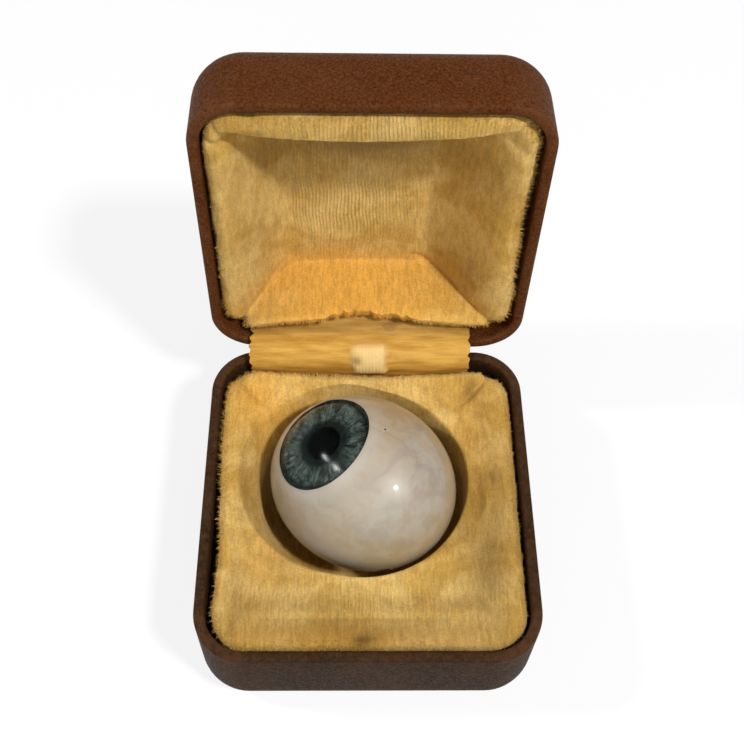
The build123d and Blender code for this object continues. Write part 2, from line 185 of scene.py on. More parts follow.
class Piece:
    """One new piece, shaped in millimetres with edit-mode operators and finished with modifiers."""

    def __init__(self, name: str) -> None:
        """Take over the primitive that was just added, under the piece's name.

        Args:
            name: The piece's name.
        """
        self.obj = bpy.context.object
        self.obj.name = name
        self.obj.data.name = name
        bpy.ops.object.transform_apply(location=True, rotation=True, scale=True)

    @staticmethod
    def clear() -> None:
        """Deselect everything, so that the next operator acts on the new primitive alone."""
        bpy.ops.object.select_all(action="DESELECT")

    def hold(self) -> None:
        """Make this the one selected and active object."""
        self.clear()
        self.obj.select_set(True)
        bpy.context.view_layer.objects.active = self.obj

    def pick(self, kind: Kind, test: Callable[[Vector, Vector], bool]) -> None:
        """Enter edit mode with the elements selected whose place and way pass the test.

        Args:
            kind: Whether vertices, edges or faces are selected.
            test: Takes an element's middle, and its normal, or an edge's direction.
        """
        self.hold()
        bpy.ops.object.mode_set(mode="EDIT")
        bpy.ops.mesh.select_mode(type=kind.name)
        bpy.ops.mesh.select_all(action="DESELECT")
        mesh = bmesh.from_edit_mesh(self.obj.data)
        for element in getattr(mesh, kind.value):
            if kind is Kind.VERT:
                place, way = element.co, element.normal
            elif kind is Kind.EDGE:
                first, last = (corner.co for corner in element.verts)
                place, way = (first + last) / 2, (last - first).normalized()
            else:
                place, way = element.calc_center_median(), element.normal
            if test(place, way):
                element.select_set(True)
        bmesh.update_edit_mesh(self.obj.data)

    def everything(self) -> None:
        """Enter edit mode with the whole mesh selected."""
        self.pick(Kind.VERT, lambda place, way: True)

    @staticmethod
    def done() -> None:
        """Leave edit mode."""
        bpy.ops.object.mode_set(mode="OBJECT")

    def modify(self, kind: str, **settings: object) -> None:
        """Add a modifier with its settings and apply it.

        Args:
            kind: Blender's type name of the modifier.
            settings: The modifier's own values by name.
        """
        self.hold()
        modifier = self.obj.modifiers.new(kind.title(), kind)
        for name, value in settings.items():
            setattr(modifier, name, value)
        bpy.ops.object.modifier_apply(modifier=modifier.name)

    def cut(self, cutter: "Piece") -> None:
        """Take another piece's shape out of this one and throw that piece away."""
        self.modify("BOOLEAN", operation="DIFFERENCE", solver="EXACT", object=cutter.obj)
        bpy.data.objects.remove(cutter.obj)

    def points(self) -> np.ndarray:
        """Read the mesh's points as rows of x, y and z.

        Returns:
            One row for each point.
        """
        flat = np.zeros(3 * len(self.obj.data.vertices))
        self.obj.data.vertices.foreach_get("co", flat)
        return flat.reshape(-1, 3)

    def shape(self, points: np.ndarray) -> None:
        """Put the mesh's points where the rows say."""
        self.obj.data.vertices.foreach_set("co", np.ascontiguousarray(points).ravel())
        self.obj.data.update()

    def mark(self, name: str, values: np.ndarray) -> None:
        """Store one value for each point, which the piece's material reads by name."""
        attribute = self.obj.data.attributes.new(name, "FLOAT", "POINT")
        attribute.data.foreach_set("value", np.clip(values, 0.0, 1.0).astype(np.float32))

    def outward(self) -> None:
        """Merge doubled points and turn every face outwards."""
        self.everything()
        bpy.ops.mesh.remove_doubles(threshold=0.0005)
        bpy.ops.mesh.normals_make_consistent(inside=False)
        self.done()

    def turn(self, matrix: Matrix) -> None:
        """Turn or move the mesh within its object, still in millimetres."""
        self.obj.data.transform(matrix)
        self.obj.data.update()

    def settle(self, material: bpy.types.Material, slot: str, sharp: float = 40.0) -> None:
        """Bring the mesh to metres, shade it and give it its material.

        Args:
            material: The finish.
            slot: The record's material slot; not used.
            sharp: The angle in degrees past which an edge stays sharp.
        """
        self.obj.data.transform(Matrix.Scale(MM, 4))
        self.hold()
        bpy.ops.object.shade_smooth_by_angle(angle=math.radians(sharp))
        self.obj.data.materials.clear()
        self.obj.data.materials.append(material)
        log.info("%s: %d points", self.obj.name, len(self.obj.data.vertices))

    def ride(self, body: Body) -> None:
        """Let the piece move with a body of the part."""
        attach(self.obj, body.value)


def round_grid(name: str, segments: int, rings: int) -> tuple[Piece, np.ndarray, np.ndarray]:
    """Add a ball whose rings and columns a soft piece is shaped from.

    Args:
        name: The piece's name.
        segments: The number of columns round it.
        rings: The number of steps from the upper pole to the lower.

    Returns:
        The piece, and for each of its points the ring, from 0 to rings, and the column.
    """
    Piece.clear()
    bpy.ops.mesh.primitive_uv_sphere_add(segments=segments, ring_count=rings, radius=1.0)
    piece = Piece(name)
    points = piece.points()
    ring = np.rint(np.arccos(np.clip(points[:, 2], -1.0, 1.0)) / np.pi * rings).astype(int)
    angle = np.arctan2(points[:, 1], points[:, 0])
    column = np.rint(angle / (2 * np.pi) * segments).astype(int) % segments
    return piece, ring, column


# Shader nodes

class Nodes:
    """A node tree being wired up."""

    def __init__(self, tree: bpy.types.NodeTree) -> None:
        """Start on an empty tree."""
        self.tree = tree
        tree.nodes.clear()

    def add(self, kind: str, **settings: object) -> bpy.types.Node:
        """Add a node of a kind, such as TexNoise, with its settings.

        Args:
            kind: The node's type name after ShaderNode.
            settings: The node's own values by name.

        Returns:
            The node.
        """
        node = self.tree.nodes.new("ShaderNode" + kind)
        for name, value in settings.items():
            setattr(node, name, value)
        return node

    def feed(self, socket: bpy.types.NodeSocket, value: object) -> None:
        """Link a socket to another, or set its value.

        Args:
            socket: The input.
            value: An output to link, or a value to set.
        """
        if isinstance(value, bpy.types.NodeSocket):
            self.tree.links.new(value, socket)
        else:
            socket.default_value = value

    def math(self, operation: str, first: object, second: object = 0.0) -> bpy.types.NodeSocket:
        """Wire a Math node.

        Args:
            operation: Blender's name of the operation.
            first: The first input.
            second: The second input.

        Returns:
            The result.
        """
        node = self.add("Math", operation=operation)
        self.feed(node.inputs[0], first)
        self.feed(node.inputs[1], second)
        return node.outputs[0]

    def fit(self, value: object, low: float, high: float, start: float = 0.0,
            end: float = 1.0) -> bpy.types.NodeSocket:
        """Map a value's range, low to high, smoothly onto start to end.

        Args:
            value: The input.
            low: The input that gives start.
            high: The input that gives end.
            start: The result at low.
            end: The result at high.

        Returns:
            The mapped value.
        """
        node = self.add("MapRange", interpolation_type="SMOOTHSTEP")
        for name, level in zip(("From Min", "From Max", "To Min", "To Max"), (low, high, start, end)):
            self.feed(node.inputs[name], level)
        self.feed(node.inputs["Value"], value)
        return node.outputs["Result"]

    def mix(self, share: object, first: object, second: object,
            blend: str = "MIX") -> bpy.types.NodeSocket:
        """Wire a colour mix from first to second.

        Args:
            share: How much of the second colour.
            first: The first colour.
            second: The second colour.
            blend: Blender's name of the blend.

        Returns:
            The mixed colour.
        """
        node = self.add("Mix", data_type="RGBA", blend_type=blend)
        self.feed(node.inputs[0], share)
        self.feed(node.inputs[6], first)
        self.feed(node.inputs[7], second)
        return node.outputs[2]

    def noise(self, vector: object, scale: float, detail: float = 2.0, rough: float = 0.5,
              warp: float = 0.0) -> bpy.types.NodeSocket:
        """Wire a noise texture, where scale is in bumps for each unit of the vector.

        Args:
            vector: Where the noise is read.
            scale: Bumps for each unit of it.
            detail: How many finer octaves are added.
            rough: How strong they are.
            warp: How far the noise bends itself.

        Returns:
            The noise, about 0.5 in the middle.
        """
        node = self.add("TexNoise")
        self.feed(node.inputs["Vector"], vector)
        for name, value in (("Scale", scale), ("Detail", detail), ("Roughness", rough),
                            ("Distortion", warp)):
            self.feed(node.inputs[name], value)
        return node.outputs[0]

    def place(self) -> bpy.types.NodeSocket:
        """Give the place on the piece in millimetres, in the part's frame."""
        return self.mapped((0.0, 0.0, 0.0), Euler((0.0, 0.0, 0.0)))

    def mapped(self, middle: Place, turn: Euler,
               stretch: Place = (1.0, 1.0, 1.0)) -> bpy.types.NodeSocket:
        """Give the place in millimetres as seen from a middle and a turn.

        Args:
            middle: The pattern's own origin, in millimetres.
            turn: How the pattern's axes are turned.
            stretch: How many millimetres each of the pattern's axes counts as one.

        Returns:
            The place as the pattern sees it.
        """
        node = self.add("Mapping", vector_type="TEXTURE")
        node.inputs["Location"].default_value = [MM * value for value in middle]
        node.inputs["Rotation"].default_value = turn
        node.inputs["Scale"].default_value = [MM * value for value in stretch]
        self.feed(node.inputs["Vector"], self.add("TexCoord").outputs["Object"])
        return node.outputs[0]

    def attribute(self, name: str) -> bpy.types.NodeSocket:
        """Read a value that the piece stores at its points."""
        return self.add("Attribute", attribute_name=name).outputs["Fac"]

    def group(self, name: str, **inputs: object) -> dict[str, bpy.types.NodeSocket]:
        """Place a node group and give its outputs by name.

        Args:
            name: The group's name.
            inputs: What its inputs take, by name.

        Returns:
            Its outputs by name.
        """
        node = self.add("Group")
        node.node_tree = bpy.data.node_groups[name]
        for socket, value in inputs.items():
            self.feed(node.inputs[socket], value)
        return {socket.name: socket for socket in node.outputs}

    def bump(self, height: object, depth: float, normal: object = None) -> bpy.types.NodeSocket:
        """Wire a Bump node whose full height is a depth in millimetres.

        Args:
            height: The height, from 0 to 1.
            depth: The full height in millimetres.
            normal: A normal to build on, if any.

        Returns:
            The bumped normal.
        """
        node = self.add("Bump")
        node.inputs["Strength"].default_value = 1.0
        node.inputs["Distance"].default_value = depth * MM
        self.feed(node.inputs["Height"], height)
        if normal is not None:
            self.feed(node.inputs["Normal"], normal)
        return node.outputs[0]


def start_group(name: str, inputs: dict[str, str], outputs: dict[str, str]) -> tuple[Nodes, dict]:
    """Make a shader node group with named sockets.

    Args:
        name: The group's name.
        inputs: The socket type of each input by name.
        outputs: The socket type of each output by name.

    Returns:
        The group's nodes, and its input sockets by name.
    """
    tree = bpy.data.node_groups.new(name, "ShaderNodeTree")
    nodes = Nodes(tree)
    for socket, kind in inputs.items():
        tree.interface.new_socket(socket, in_out="INPUT", socket_type="NodeSocket" + kind)
    for socket, kind in outputs.items():
        tree.interface.new_socket(socket, in_out="OUTPUT", socket_type="NodeSocket" + kind)
    entry = nodes.tree.nodes.new("NodeGroupInput")
    return nodes, {socket.name: socket for socket in entry.outputs if socket.name}


def end_group(nodes: Nodes, **outputs: bpy.types.NodeSocket) -> None:
    """Link a group's results to its outputs.

    Args:
        nodes: The group's nodes.
        outputs: The results by name.
    """
    way_out = nodes.tree.nodes.new("NodeGroupOutput")
    for name, socket in outputs.items():
        nodes.feed(way_out.inputs[name], socket)


def make_grain_group() -> None:
    """Leather-like grain: small uneven cells with darker valleys."""
    nodes, given = start_group("grain", {"Place": "Vector", "Cells": "Float"},
                               {"Height": "Float", "Mottle": "Float"})
    cells = nodes.add("TexVoronoi", feature="SMOOTH_F1")
    nodes.feed(cells.inputs["Vector"], given["Place"])
    nodes.feed(cells.inputs["Scale"], given["Cells"])
    fine = nodes.noise(given["Place"], 9.0, 3.0, 0.6)
    height = nodes.math("SUBTRACT", fine, nodes.math("MULTIPLY", cells.outputs["Distance"], 0.8))
    speckle = nodes.noise(given["Place"], 3.4, 4.0, 0.75)
    end_group(nodes, Height=height, Mottle=nodes.fit(speckle, 0.32, 0.68))


def make_wear_group() -> None:
    """Rubbed edges and the painted rim highlight: the stored edge value broken up by noise."""
    nodes, given = start_group("wear", {"Place": "Vector", "Edge": "Float", "Amount": "Float"},
                               {"Worn": "Float"})
    broken = nodes.noise(given["Place"], 1.3, 5.0, 0.7)
    level = nodes.math("ADD", nodes.math("MULTIPLY", given["Edge"], given["Amount"]), broken)
    end_group(nodes, Worn=nodes.fit(level, 0.85, 1.25))


def make_pile_group() -> None:
    """Velvet: woven ribs where the pile is worn, and tufts everywhere."""
    nodes, given = start_group(
        "pile", {"Place": "Vector", "Worn": "Float", "Pitch": "Float"},
        {"Height": "Float", "Ribs": "Float", "Tufts": "Float"})
    split = nodes.add("SeparateXYZ")
    nodes.feed(split.inputs[0], given["Place"])
    sway = nodes.math("MULTIPLY", nodes.noise(given["Place"], 0.12, 1.0), 1.8)
    across = nodes.math("ADD", split.outputs["X"], sway)
    phase = nodes.math("DIVIDE", nodes.math("MULTIPLY", across, 2 * math.pi), given["Pitch"])
    ribs = nodes.math("MULTIPLY_ADD", nodes.math("SINE", phase), 0.5)
    ribs.node.inputs[2].default_value = 0.5
    gaps = nodes.noise(given["Place"], 2.6, 2.0, 0.6)
    ribs = nodes.math("MULTIPLY", ribs, nodes.fit(gaps, 0.25, 0.6, 0.35, 1.0))
    drawn = nodes.add("CombineXYZ")
    for socket, part, share in zip(drawn.inputs[:3], split.outputs[:3], (1.0, 0.22, 0.22)):
        nodes.feed(socket, nodes.math("MULTIPLY", part, share))
    nap = nodes.noise(drawn.outputs[0], 2.1, 4.0, 0.7, 0.3)
    tufts = nodes.noise(given["Place"], 4.2, 4.0, 0.72, 0.4)
    tufts = nodes.math("ADD", nodes.math("MULTIPLY", tufts, 0.5), nodes.math("MULTIPLY", nap, 0.5))
    raised = nodes.math("MULTIPLY", ribs, given["Worn"])
    end_group(nodes, Height=nodes.math("ADD", raised, tufts), Ribs=raised, Tufts=tufts)


def make_streak_group() -> None:
    """Cloth threads that run along one way, with slubs and dirt between them."""
    nodes, given = start_group("streaks", {"Along": "Vector"},
                               {"Thread": "Float", "Streak": "Float", "Dirt": "Float"})
    thread = nodes.noise(given["Along"], 5.5, 3.0, 0.65)
    streak = nodes.noise(given["Along"], 1.1, 4.0, 0.6, 0.3)
    dirt_and_shade = nodes.noise(given["Along"], 0.55, 5.0, 0.7, 0.8)
    end_group(nodes, Thread=thread, Streak=nodes.fit(streak, 0.3, 0.7),
              Dirt=nodes.fit(dirt_and_shade, 0.56, 0.75))


def make_fibre_group() -> None:
    """Fibres that run out from a middle, as in an iris, with the distance from it."""
    nodes, given = start_group("fibres", {"Place": "Vector", "Count": "Float"},
                               {"Fibre": "Float", "Fleck": "Float", "Radius": "Float"})
    split = nodes.add("SeparateXYZ")
    nodes.feed(split.inputs[0], given["Place"])
    x, y = split.outputs["X"], split.outputs["Y"]
    squares = nodes.math("ADD", nodes.math("POWER", x, 2.0), nodes.math("POWER", y, 2.0))
    radius = nodes.math("SQRT", squares)
    safe = nodes.math("MAXIMUM", radius, 0.01)
    ring = nodes.add("CombineXYZ")
    for socket, value in zip(ring.inputs[:2], (x, y)):
        nodes.feed(socket, nodes.math("MULTIPLY", nodes.math("DIVIDE", value, safe), given["Count"]))
    nodes.feed(ring.inputs[2], nodes.math("MULTIPLY", radius, 0.3))
    coarse = nodes.noise(ring.outputs[0], 1.0, 3.0, 0.6, 0.5)
    fine = nodes.noise(ring.outputs[0], 3.1, 2.0, 0.6, 0.4)
    fibre = nodes.math("ADD", nodes.math("MULTIPLY", coarse, 0.6), nodes.math("MULTIPLY", fine, 0.4))
    fleck = nodes.noise(given["Place"], 1.3, 3.0, 0.7, 0.6)
    end_group(nodes, Fibre=nodes.fit(fibre, 0.36, 0.64), Fleck=nodes.fit(fleck, 0.4, 0.66),
              Radius=radius)


def make_cloud_group() -> None:
    """Milky clouds and fine wandering threads, as in blown opal glass."""
    nodes, given = start_group("clouds", {"Place": "Vector"},
                               {"Cloud": "Float", "Thread": "Float"})
    cloud = nodes.noise(given["Place"], 0.11, 3.0, 0.55, 0.8)
    wander = nodes.noise(given["Place"], 0.1, 4.0, 0.5, 1.2)
    ridge = nodes.math("ABSOLUTE", nodes.math("SUBTRACT", wander, 0.5))
    end_group(nodes, Cloud=nodes.fit(cloud, 0.35, 0.65), Thread=nodes.fit(ridge, 0.0, 0.03, 1.0, 0.0))


def make_groups() -> None:
    """Build every shader node group once."""
    for make in (make_grain_group, make_wear_group, make_pile_group, make_streak_group,
                 make_fibre_group, make_cloud_group):
        make()


# Finishes

class Finish:
    """A surface finish whose material is built the first time that it is asked for."""

    name: str

    def material(self) -> bpy.types.Material:
        """Give the finish's material.

        Returns:
            The one material that every piece with this finish shares.
        """
        title = self.name + "_finish"
        found = bpy.data.materials.get(title)
        if found is None:
            found = bpy.data.materials.new(title)
            found.use_nodes = True
            nodes = Nodes(found.node_tree)
            surface = nodes.add("BsdfPrincipled")
            self.wire(nodes, surface)
            result = nodes.add("OutputMaterial")
            nodes.feed(result.inputs["Surface"], surface.outputs[0])
        return found

    def wire(self, nodes: Nodes, surface: bpy.types.Node) -> None:
        """Wire the finish's nodes to the Principled surface."""
        raise NotImplementedError


@dataclass(frozen=True)
class Leatherette(Finish):
    """Brown grained leatherette with rubbed edges and a painted highlight along the rims."""

    name: str
    dark: Colour
    light: Colour
    rubbed_and_highlight: Colour
    grain_cells: float = 2.9

    def wire(self, nodes: Nodes, surface: bpy.types.Node) -> None:
        """Mottle the brown, rub the edges, paint a highlight along the rims and raise the grain.

        Args:
            nodes: The material's nodes.
            surface: Its Principled surface.
        """
        place = nodes.place()
        grain = nodes.group("grain", Place=place, Cells=self.grain_cells)
        # The edge mark is rubbing, and along the rims a painted highlight as well.
        worn = nodes.group("wear", Place=place, Edge=nodes.attribute("edge"), Amount=0.6)["Worn"]
        broad = nodes.fit(nodes.noise(place, 0.16, 3.0, 0.6), 0.35, 0.65)
        brown = nodes.mix(grain["Mottle"], self.dark, self.light)
        dusted = nodes.mix(nodes.math("MULTIPLY", broad, 0.15), brown, self.rubbed_and_highlight)
        colour = nodes.mix(nodes.math("MULTIPLY", worn, 0.5), dusted, self.rubbed_and_highlight)
        nodes.feed(surface.inputs["Base Color"], colour)
        nodes.feed(surface.inputs["Roughness"], nodes.fit(grain["Mottle"], 0.0, 1.0, 0.58, 0.42))
        surface.inputs["IOR"].default_value = 1.1
        nodes.feed(surface.inputs["Normal"], nodes.bump(grain["Height"], 0.06))


@dataclass(frozen=True)
class Velvet(Finish):
    """Old gold velvet: worn to its ribs in places, stained and faded, with painted shade and light in
    places.
    """

    name: str
    gold: Colour
    pale: Colour
    amber: Colour
    soil: Colour
    pitch: float = 0.43

    def wire(self, nodes: Nodes, surface: bpy.types.Node) -> None:
        """Colour the pile from the stored stains and painted shade and light, and raise ribs and
        tufts.

        Args:
            nodes: The material's nodes.
            surface: Its Principled surface.
        """
        place = nodes.place()
        worn = nodes.attribute("worn")
        pile = nodes.group("pile", Place=place, Worn=worn, Pitch=self.pitch)
        broad = nodes.fit(nodes.noise(place, 0.13, 4.0, 0.6, 0.6), 0.35, 0.65)
        blotch = nodes.fit(nodes.noise(place, 0.5, 4.0, 0.7, 0.8), 0.58, 0.76)
        colour = nodes.mix(broad, self.gold, self.pale)
        # The amber mark tints the pile; on the lid's hinge-side slope it also paints the light that
        # falls there.
        colour = nodes.mix(nodes.attribute("amber"), colour, self.amber)
        colour = nodes.mix(nodes.math("MULTIPLY", worn, 0.35), colour, self.pale)
        # The soil mark darkens the pile for dirt, and in places as painted shadow.
        dirt_and_shade = nodes.math("ADD", nodes.attribute("soil"), nodes.math("MULTIPLY", blotch, 0.18))
        colour = nodes.mix(dirt_and_shade, colour, self.soil)
        shade = nodes.fit(pile["Tufts"], 0.36, 0.64, 0.7, 1.1)
        shade = nodes.math("MULTIPLY", shade, nodes.fit(pile["Ribs"], 0.0, 0.8, 0.92, 1.08))
        grey = nodes.add("CombineColor")
        for socket in grey.inputs[:3]:
            nodes.feed(socket, shade)
        colour = nodes.mix(1.0, colour, grey.outputs[0], "MULTIPLY")
        nodes.feed(surface.inputs["Base Color"], colour)
        surface.inputs["Roughness"].default_value = 0.95
        surface.inputs["IOR"].default_value = 1.15
        surface.inputs["Sheen Weight"].default_value = 0.2
        surface.inputs["Sheen Roughness"].default_value = 0.5
        surface.inputs["Sheen Tint"].default_value = tint(255, 226, 160)
        nodes.feed(surface.inputs["Normal"], nodes.bump(pile["Height"], 0.18))


@dataclass(frozen=True)
class Sateen(Finish):
    """Cream sateen with threads across the hinge's length and dirt in them."""

    name: str
    cream: Colour
    gold: Colour
    soil: Colour
    pale: Colour

    def wire(self, nodes: Nodes, surface: bpy.types.Node) -> None:
        """Streak the cloth along x, lighten the pad over the spring, and darken it with dirt and with
        the painted shadow of the lid's velvet.

        Args:
            nodes: The material's nodes.
            surface: Its Principled surface.
        """
        along = nodes.mapped((0.0, 0.0, 0.0), Euler((0.0, 0.0, 0.0)), (7.0, 1.0, 1.0))
        cloth = nodes.group("streaks", Along=along)
        pad = nodes.attribute("pad")
        pile = nodes.group("pile", Place=nodes.place(), Worn=pad, Pitch=0.43)
        colour = nodes.mix(cloth["Streak"], self.gold, self.cream)
        colour = nodes.mix(nodes.math("MULTIPLY", pad, 0.85), colour, self.pale)
        # The soil mark holds dirt and the painted shadow under the lid's velvet.
        dirt_and_shade = nodes.math("ADD", nodes.math("MULTIPLY", cloth["Dirt"], 0.35), nodes.attribute("soil"))
        nodes.feed(surface.inputs["Base Color"], nodes.mix(dirt_and_shade, colour, self.soil))
        nodes.feed(surface.inputs["Roughness"], nodes.fit(cloth["Thread"], 0.3, 0.7, 0.5, 0.75))
        surface.inputs["Specular IOR Level"].default_value = 0.2
        raised = nodes.bump(nodes.math("MULTIPLY", pile["Height"], pad), 0.07)
        nodes.feed(surface.inputs["Normal"], nodes.bump(cloth["Thread"], 0.05, raised))


@dataclass(frozen=True)
class OpalGlass(Finish):
    """Milky glass of the white of the eye, with clouds and fine coloured threads."""

    name: str
    cream: Colour
    grey: Colour
    milk: Colour
    thread: Colour

    def wire(self, nodes: Nodes, surface: bpy.types.Node) -> None:
        """Cloud the glass, draw its threads and give it a polished coat.

        Args:
            nodes: The material's nodes.
            surface: Its Principled surface.
        """
        place = nodes.place()
        clouds = nodes.group("clouds", Place=place)
        colour = nodes.mix(clouds["Cloud"], self.cream, self.grey)
        patches = nodes.fit(nodes.noise(place, 0.42, 4.0, 0.62, 0.5), 0.4, 0.62)
        colour = nodes.mix(nodes.math("MULTIPLY", patches, 0.3), colour, self.milk)
        colour = nodes.mix(nodes.attribute("milk"), colour, self.milk)
        vein = nodes.math("MULTIPLY", clouds["Thread"], nodes.attribute("vein"))
        colour = nodes.mix(nodes.math("MULTIPLY", vein, 0.3), colour, self.thread)
        colour = nodes.mix(nodes.math("MULTIPLY", nodes.attribute("blush"), 0.5), colour, self.thread)
        nodes.feed(surface.inputs["Base Color"], colour)
        surface.inputs["Roughness"].default_value = 0.4
        surface.inputs["IOR"].default_value = 1.4
        surface.inputs["Subsurface Weight"].default_value = 0.25
        surface.inputs["Subsurface Radius"].default_value = (1.0, 0.8, 0.6)
        surface.inputs["Subsurface Scale"].default_value = 1.2 * MM
        surface.inputs["Coat Weight"].default_value = 0.4
        surface.inputs["Coat Roughness"].default_value = 0.04
        waves = nodes.noise(place, 0.3, 2.0, 0.5)
        nodes.feed(surface.inputs["Normal"], nodes.bump(waves, 0.05))


@dataclass(frozen=True)
class IrisGlass(Finish):
    """Blue-grey iris with fibres round the pupil."""

    name: str
    turn: Euler
    middle: Place
    deep: Colour
    slate: Colour
    light: Colour
    fleck: Colour

    def wire(self, nodes: Nodes, surface: bpy.types.Node) -> None:
        """Run the fibres out from the pupil and darken both edges.

        Args:
            nodes: The material's nodes.
            surface: Its Principled surface.
        """
        place = nodes.mapped(self.middle, self.turn)
        fibres = nodes.group("fibres", Place=place, Count=9.0)
        colour = nodes.mix(fibres["Fibre"], self.slate, self.light)
        colour = nodes.mix(nodes.math("MULTIPLY", fibres["Fleck"], 0.5), colour, self.fleck)
        swirl = nodes.fit(nodes.noise(place, 0.8, 3.0, 0.65, 0.8), 0.42, 0.62)
        colour = nodes.mix(nodes.math("MULTIPLY", swirl, 0.7), colour, self.deep)
        inner = nodes.fit(fibres["Radius"], 2.7, 3.6, 1.0, 0.0)
        outer = nodes.fit(fibres["Radius"], 5.1, 6.0)
        edges = nodes.math("MAXIMUM", nodes.math("MULTIPLY", inner, 0.9), outer)
        colour = nodes.mix(edges, colour, self.deep)
        nodes.feed(surface.inputs["Base Color"], colour)
        surface.inputs["Roughness"].default_value = 0.5
        surface.inputs["Specular IOR Level"].default_value = 0.0
        nodes.feed(surface.inputs["Normal"], nodes.bump(fibres["Fibre"], 0.08))


@dataclass(frozen=True)
class DarkGlass(Finish):
    """Dark glass with a little swirl in it."""

    name: str
    deep: Colour
    light: Colour

    def wire(self, nodes: Nodes, surface: bpy.types.Node) -> None:
        """Swirl the two colours.

        Args:
            nodes: The material's nodes.
            surface: Its Principled surface.
        """
        swirl = nodes.fit(nodes.noise(nodes.place(), 1.6, 3.0, 0.6, 0.8), 0.35, 0.7)
        nodes.feed(surface.inputs["Base Color"], nodes.mix(swirl, self.deep, self.light))
        surface.inputs["Roughness"].default_value = 0.4
        surface.inputs["Specular IOR Level"].default_value = 0.0


@dataclass(frozen=True)
class Crystal(Finish):
    """Clear glass over the iris."""

    name: str

    def wire(self, nodes: Nodes, surface: bpy.types.Node) -> None:
        """Let light through, with the faint waves of blown glass.

        Args:
            nodes: The material's nodes.
            surface: Its Principled surface.
        """
        surface.inputs["Base Color"].default_value = (1.0, 1.0, 1.0, 1.0)
        surface.inputs["Roughness"].default_value = 0.13
        surface.inputs["IOR"].default_value = 1.12
        surface.inputs["Transmission Weight"].default_value = 1.0
        waves = nodes.noise(nodes.place(), 0.5, 1.0)
        nodes.feed(surface.inputs["Normal"], nodes.bump(waves, 0.01))


@dataclass(frozen=True)
class SheetMetal(Finish):
    """Drawn or rolled metal with fine scratches and tarnish."""

    name: str
    bright: Colour
    tarnish: Colour
    roughness: float

    def wire(self, nodes: Nodes, surface: bpy.types.Node) -> None:
        """Scratch the metal along x and spot it with tarnish.

        Args:
            nodes: The material's nodes.
            surface: Its Principled surface.
        """
        along = nodes.mapped((0.0, 0.0, 0.0), Euler((0.0, 0.0, 0.0)), (12.0, 1.0, 1.0))
        cloth = nodes.group("streaks", Along=along)
        spots = nodes.fit(nodes.noise(nodes.place(), 0.7, 4.0, 0.7), 0.45, 0.7)
        nodes.feed(surface.inputs["Base Color"], nodes.mix(spots, self.bright, self.tarnish))
        surface.inputs["Metallic"].default_value = 1.0
        rough = nodes.fit(cloth["Thread"], 0.3, 0.7, self.roughness - 0.1, self.roughness + 0.1)
        nodes.feed(surface.inputs["Roughness"], rough)
        nodes.feed(surface.inputs["Normal"], nodes.bump(cloth["Thread"], 0.01))


@dataclass(frozen=True)
class Fibreboard(Finish):
    """Strawboard or cotton wadding: matt, with short fibres."""

    name: str
    pale: Colour
    dark: Colour

    def wire(self, nodes: Nodes, surface: bpy.types.Node) -> None:
        """Scatter fibres over the board.

        Args:
            nodes: The material's nodes.
            surface: Its Principled surface.
        """
        place = nodes.place()
        fibres = nodes.fit(nodes.noise(place, 2.2, 5.0, 0.8, 1.2), 0.35, 0.65)
        nodes.feed(surface.inputs["Base Color"], nodes.mix(fibres, self.dark, self.pale))
        surface.inputs["Roughness"].default_value = 0.95
        nodes.feed(surface.inputs["Normal"], nodes.bump(fibres, 0.05))


# The lid's leatherette is a lighter, redder copy and the base's a darker, greyer one; the difference
# in lightness is painted light and shade, as the lid's wall faces up when open and the base's walls
# face the front.
SHADED_BASE_LEATHER = Leatherette("base_leatherette", tint(34, 22, 11), tint(58, 40, 24), tint(92, 60, 38))
LIT_LID_LEATHER = Leatherette("lid_leatherette", tint(52, 24, 7), tint(98, 54, 21), tint(104, 66, 42))
# The velvet's and the sateen's soil colours serve as dirt and as painted shade; the velvet's amber
# colour also serves as painted light.
VELVET = Velvet("gold_velvet", tint(202, 158, 76), tint(230, 192, 116), tint(242, 178, 76),
                tint(112, 82, 38))
SATEEN = Sateen("sateen", tint(206, 160, 74), tint(174, 124, 42), tint(100, 68, 24),
                tint(232, 200, 136))
OPAL = OpalGlass("opal_glass", tint(164, 144, 110), tint(148, 137, 116), tint(180, 173, 162),
                 tint(124, 92, 102))
CRYSTAL = Crystal("crystal")
PUPIL = DarkGlass("pupil_glass", tint(0, 1, 1), tint(3, 5, 5))
LIMBUS = DarkGlass("limbus_glass", tint(24, 30, 30), tint(44, 54, 52))
SCAR = DarkGlass("scar_glass", tint(58, 34, 20), tint(120, 86, 56))
BRASS = SheetMetal("hinge_brass", tint(196, 158, 92), tint(112, 80, 44), 0.35)
STEEL = SheetMetal("sheet_steel", tint(172, 172, 174), tint(104, 98, 92), 0.4)
BOARD = Fibreboard("strawboard", tint(178, 152, 108), tint(140, 116, 78))
COTTON = Fibreboard("cotton_wadding", tint(232, 226, 212), tint(206, 198, 180))


# The case

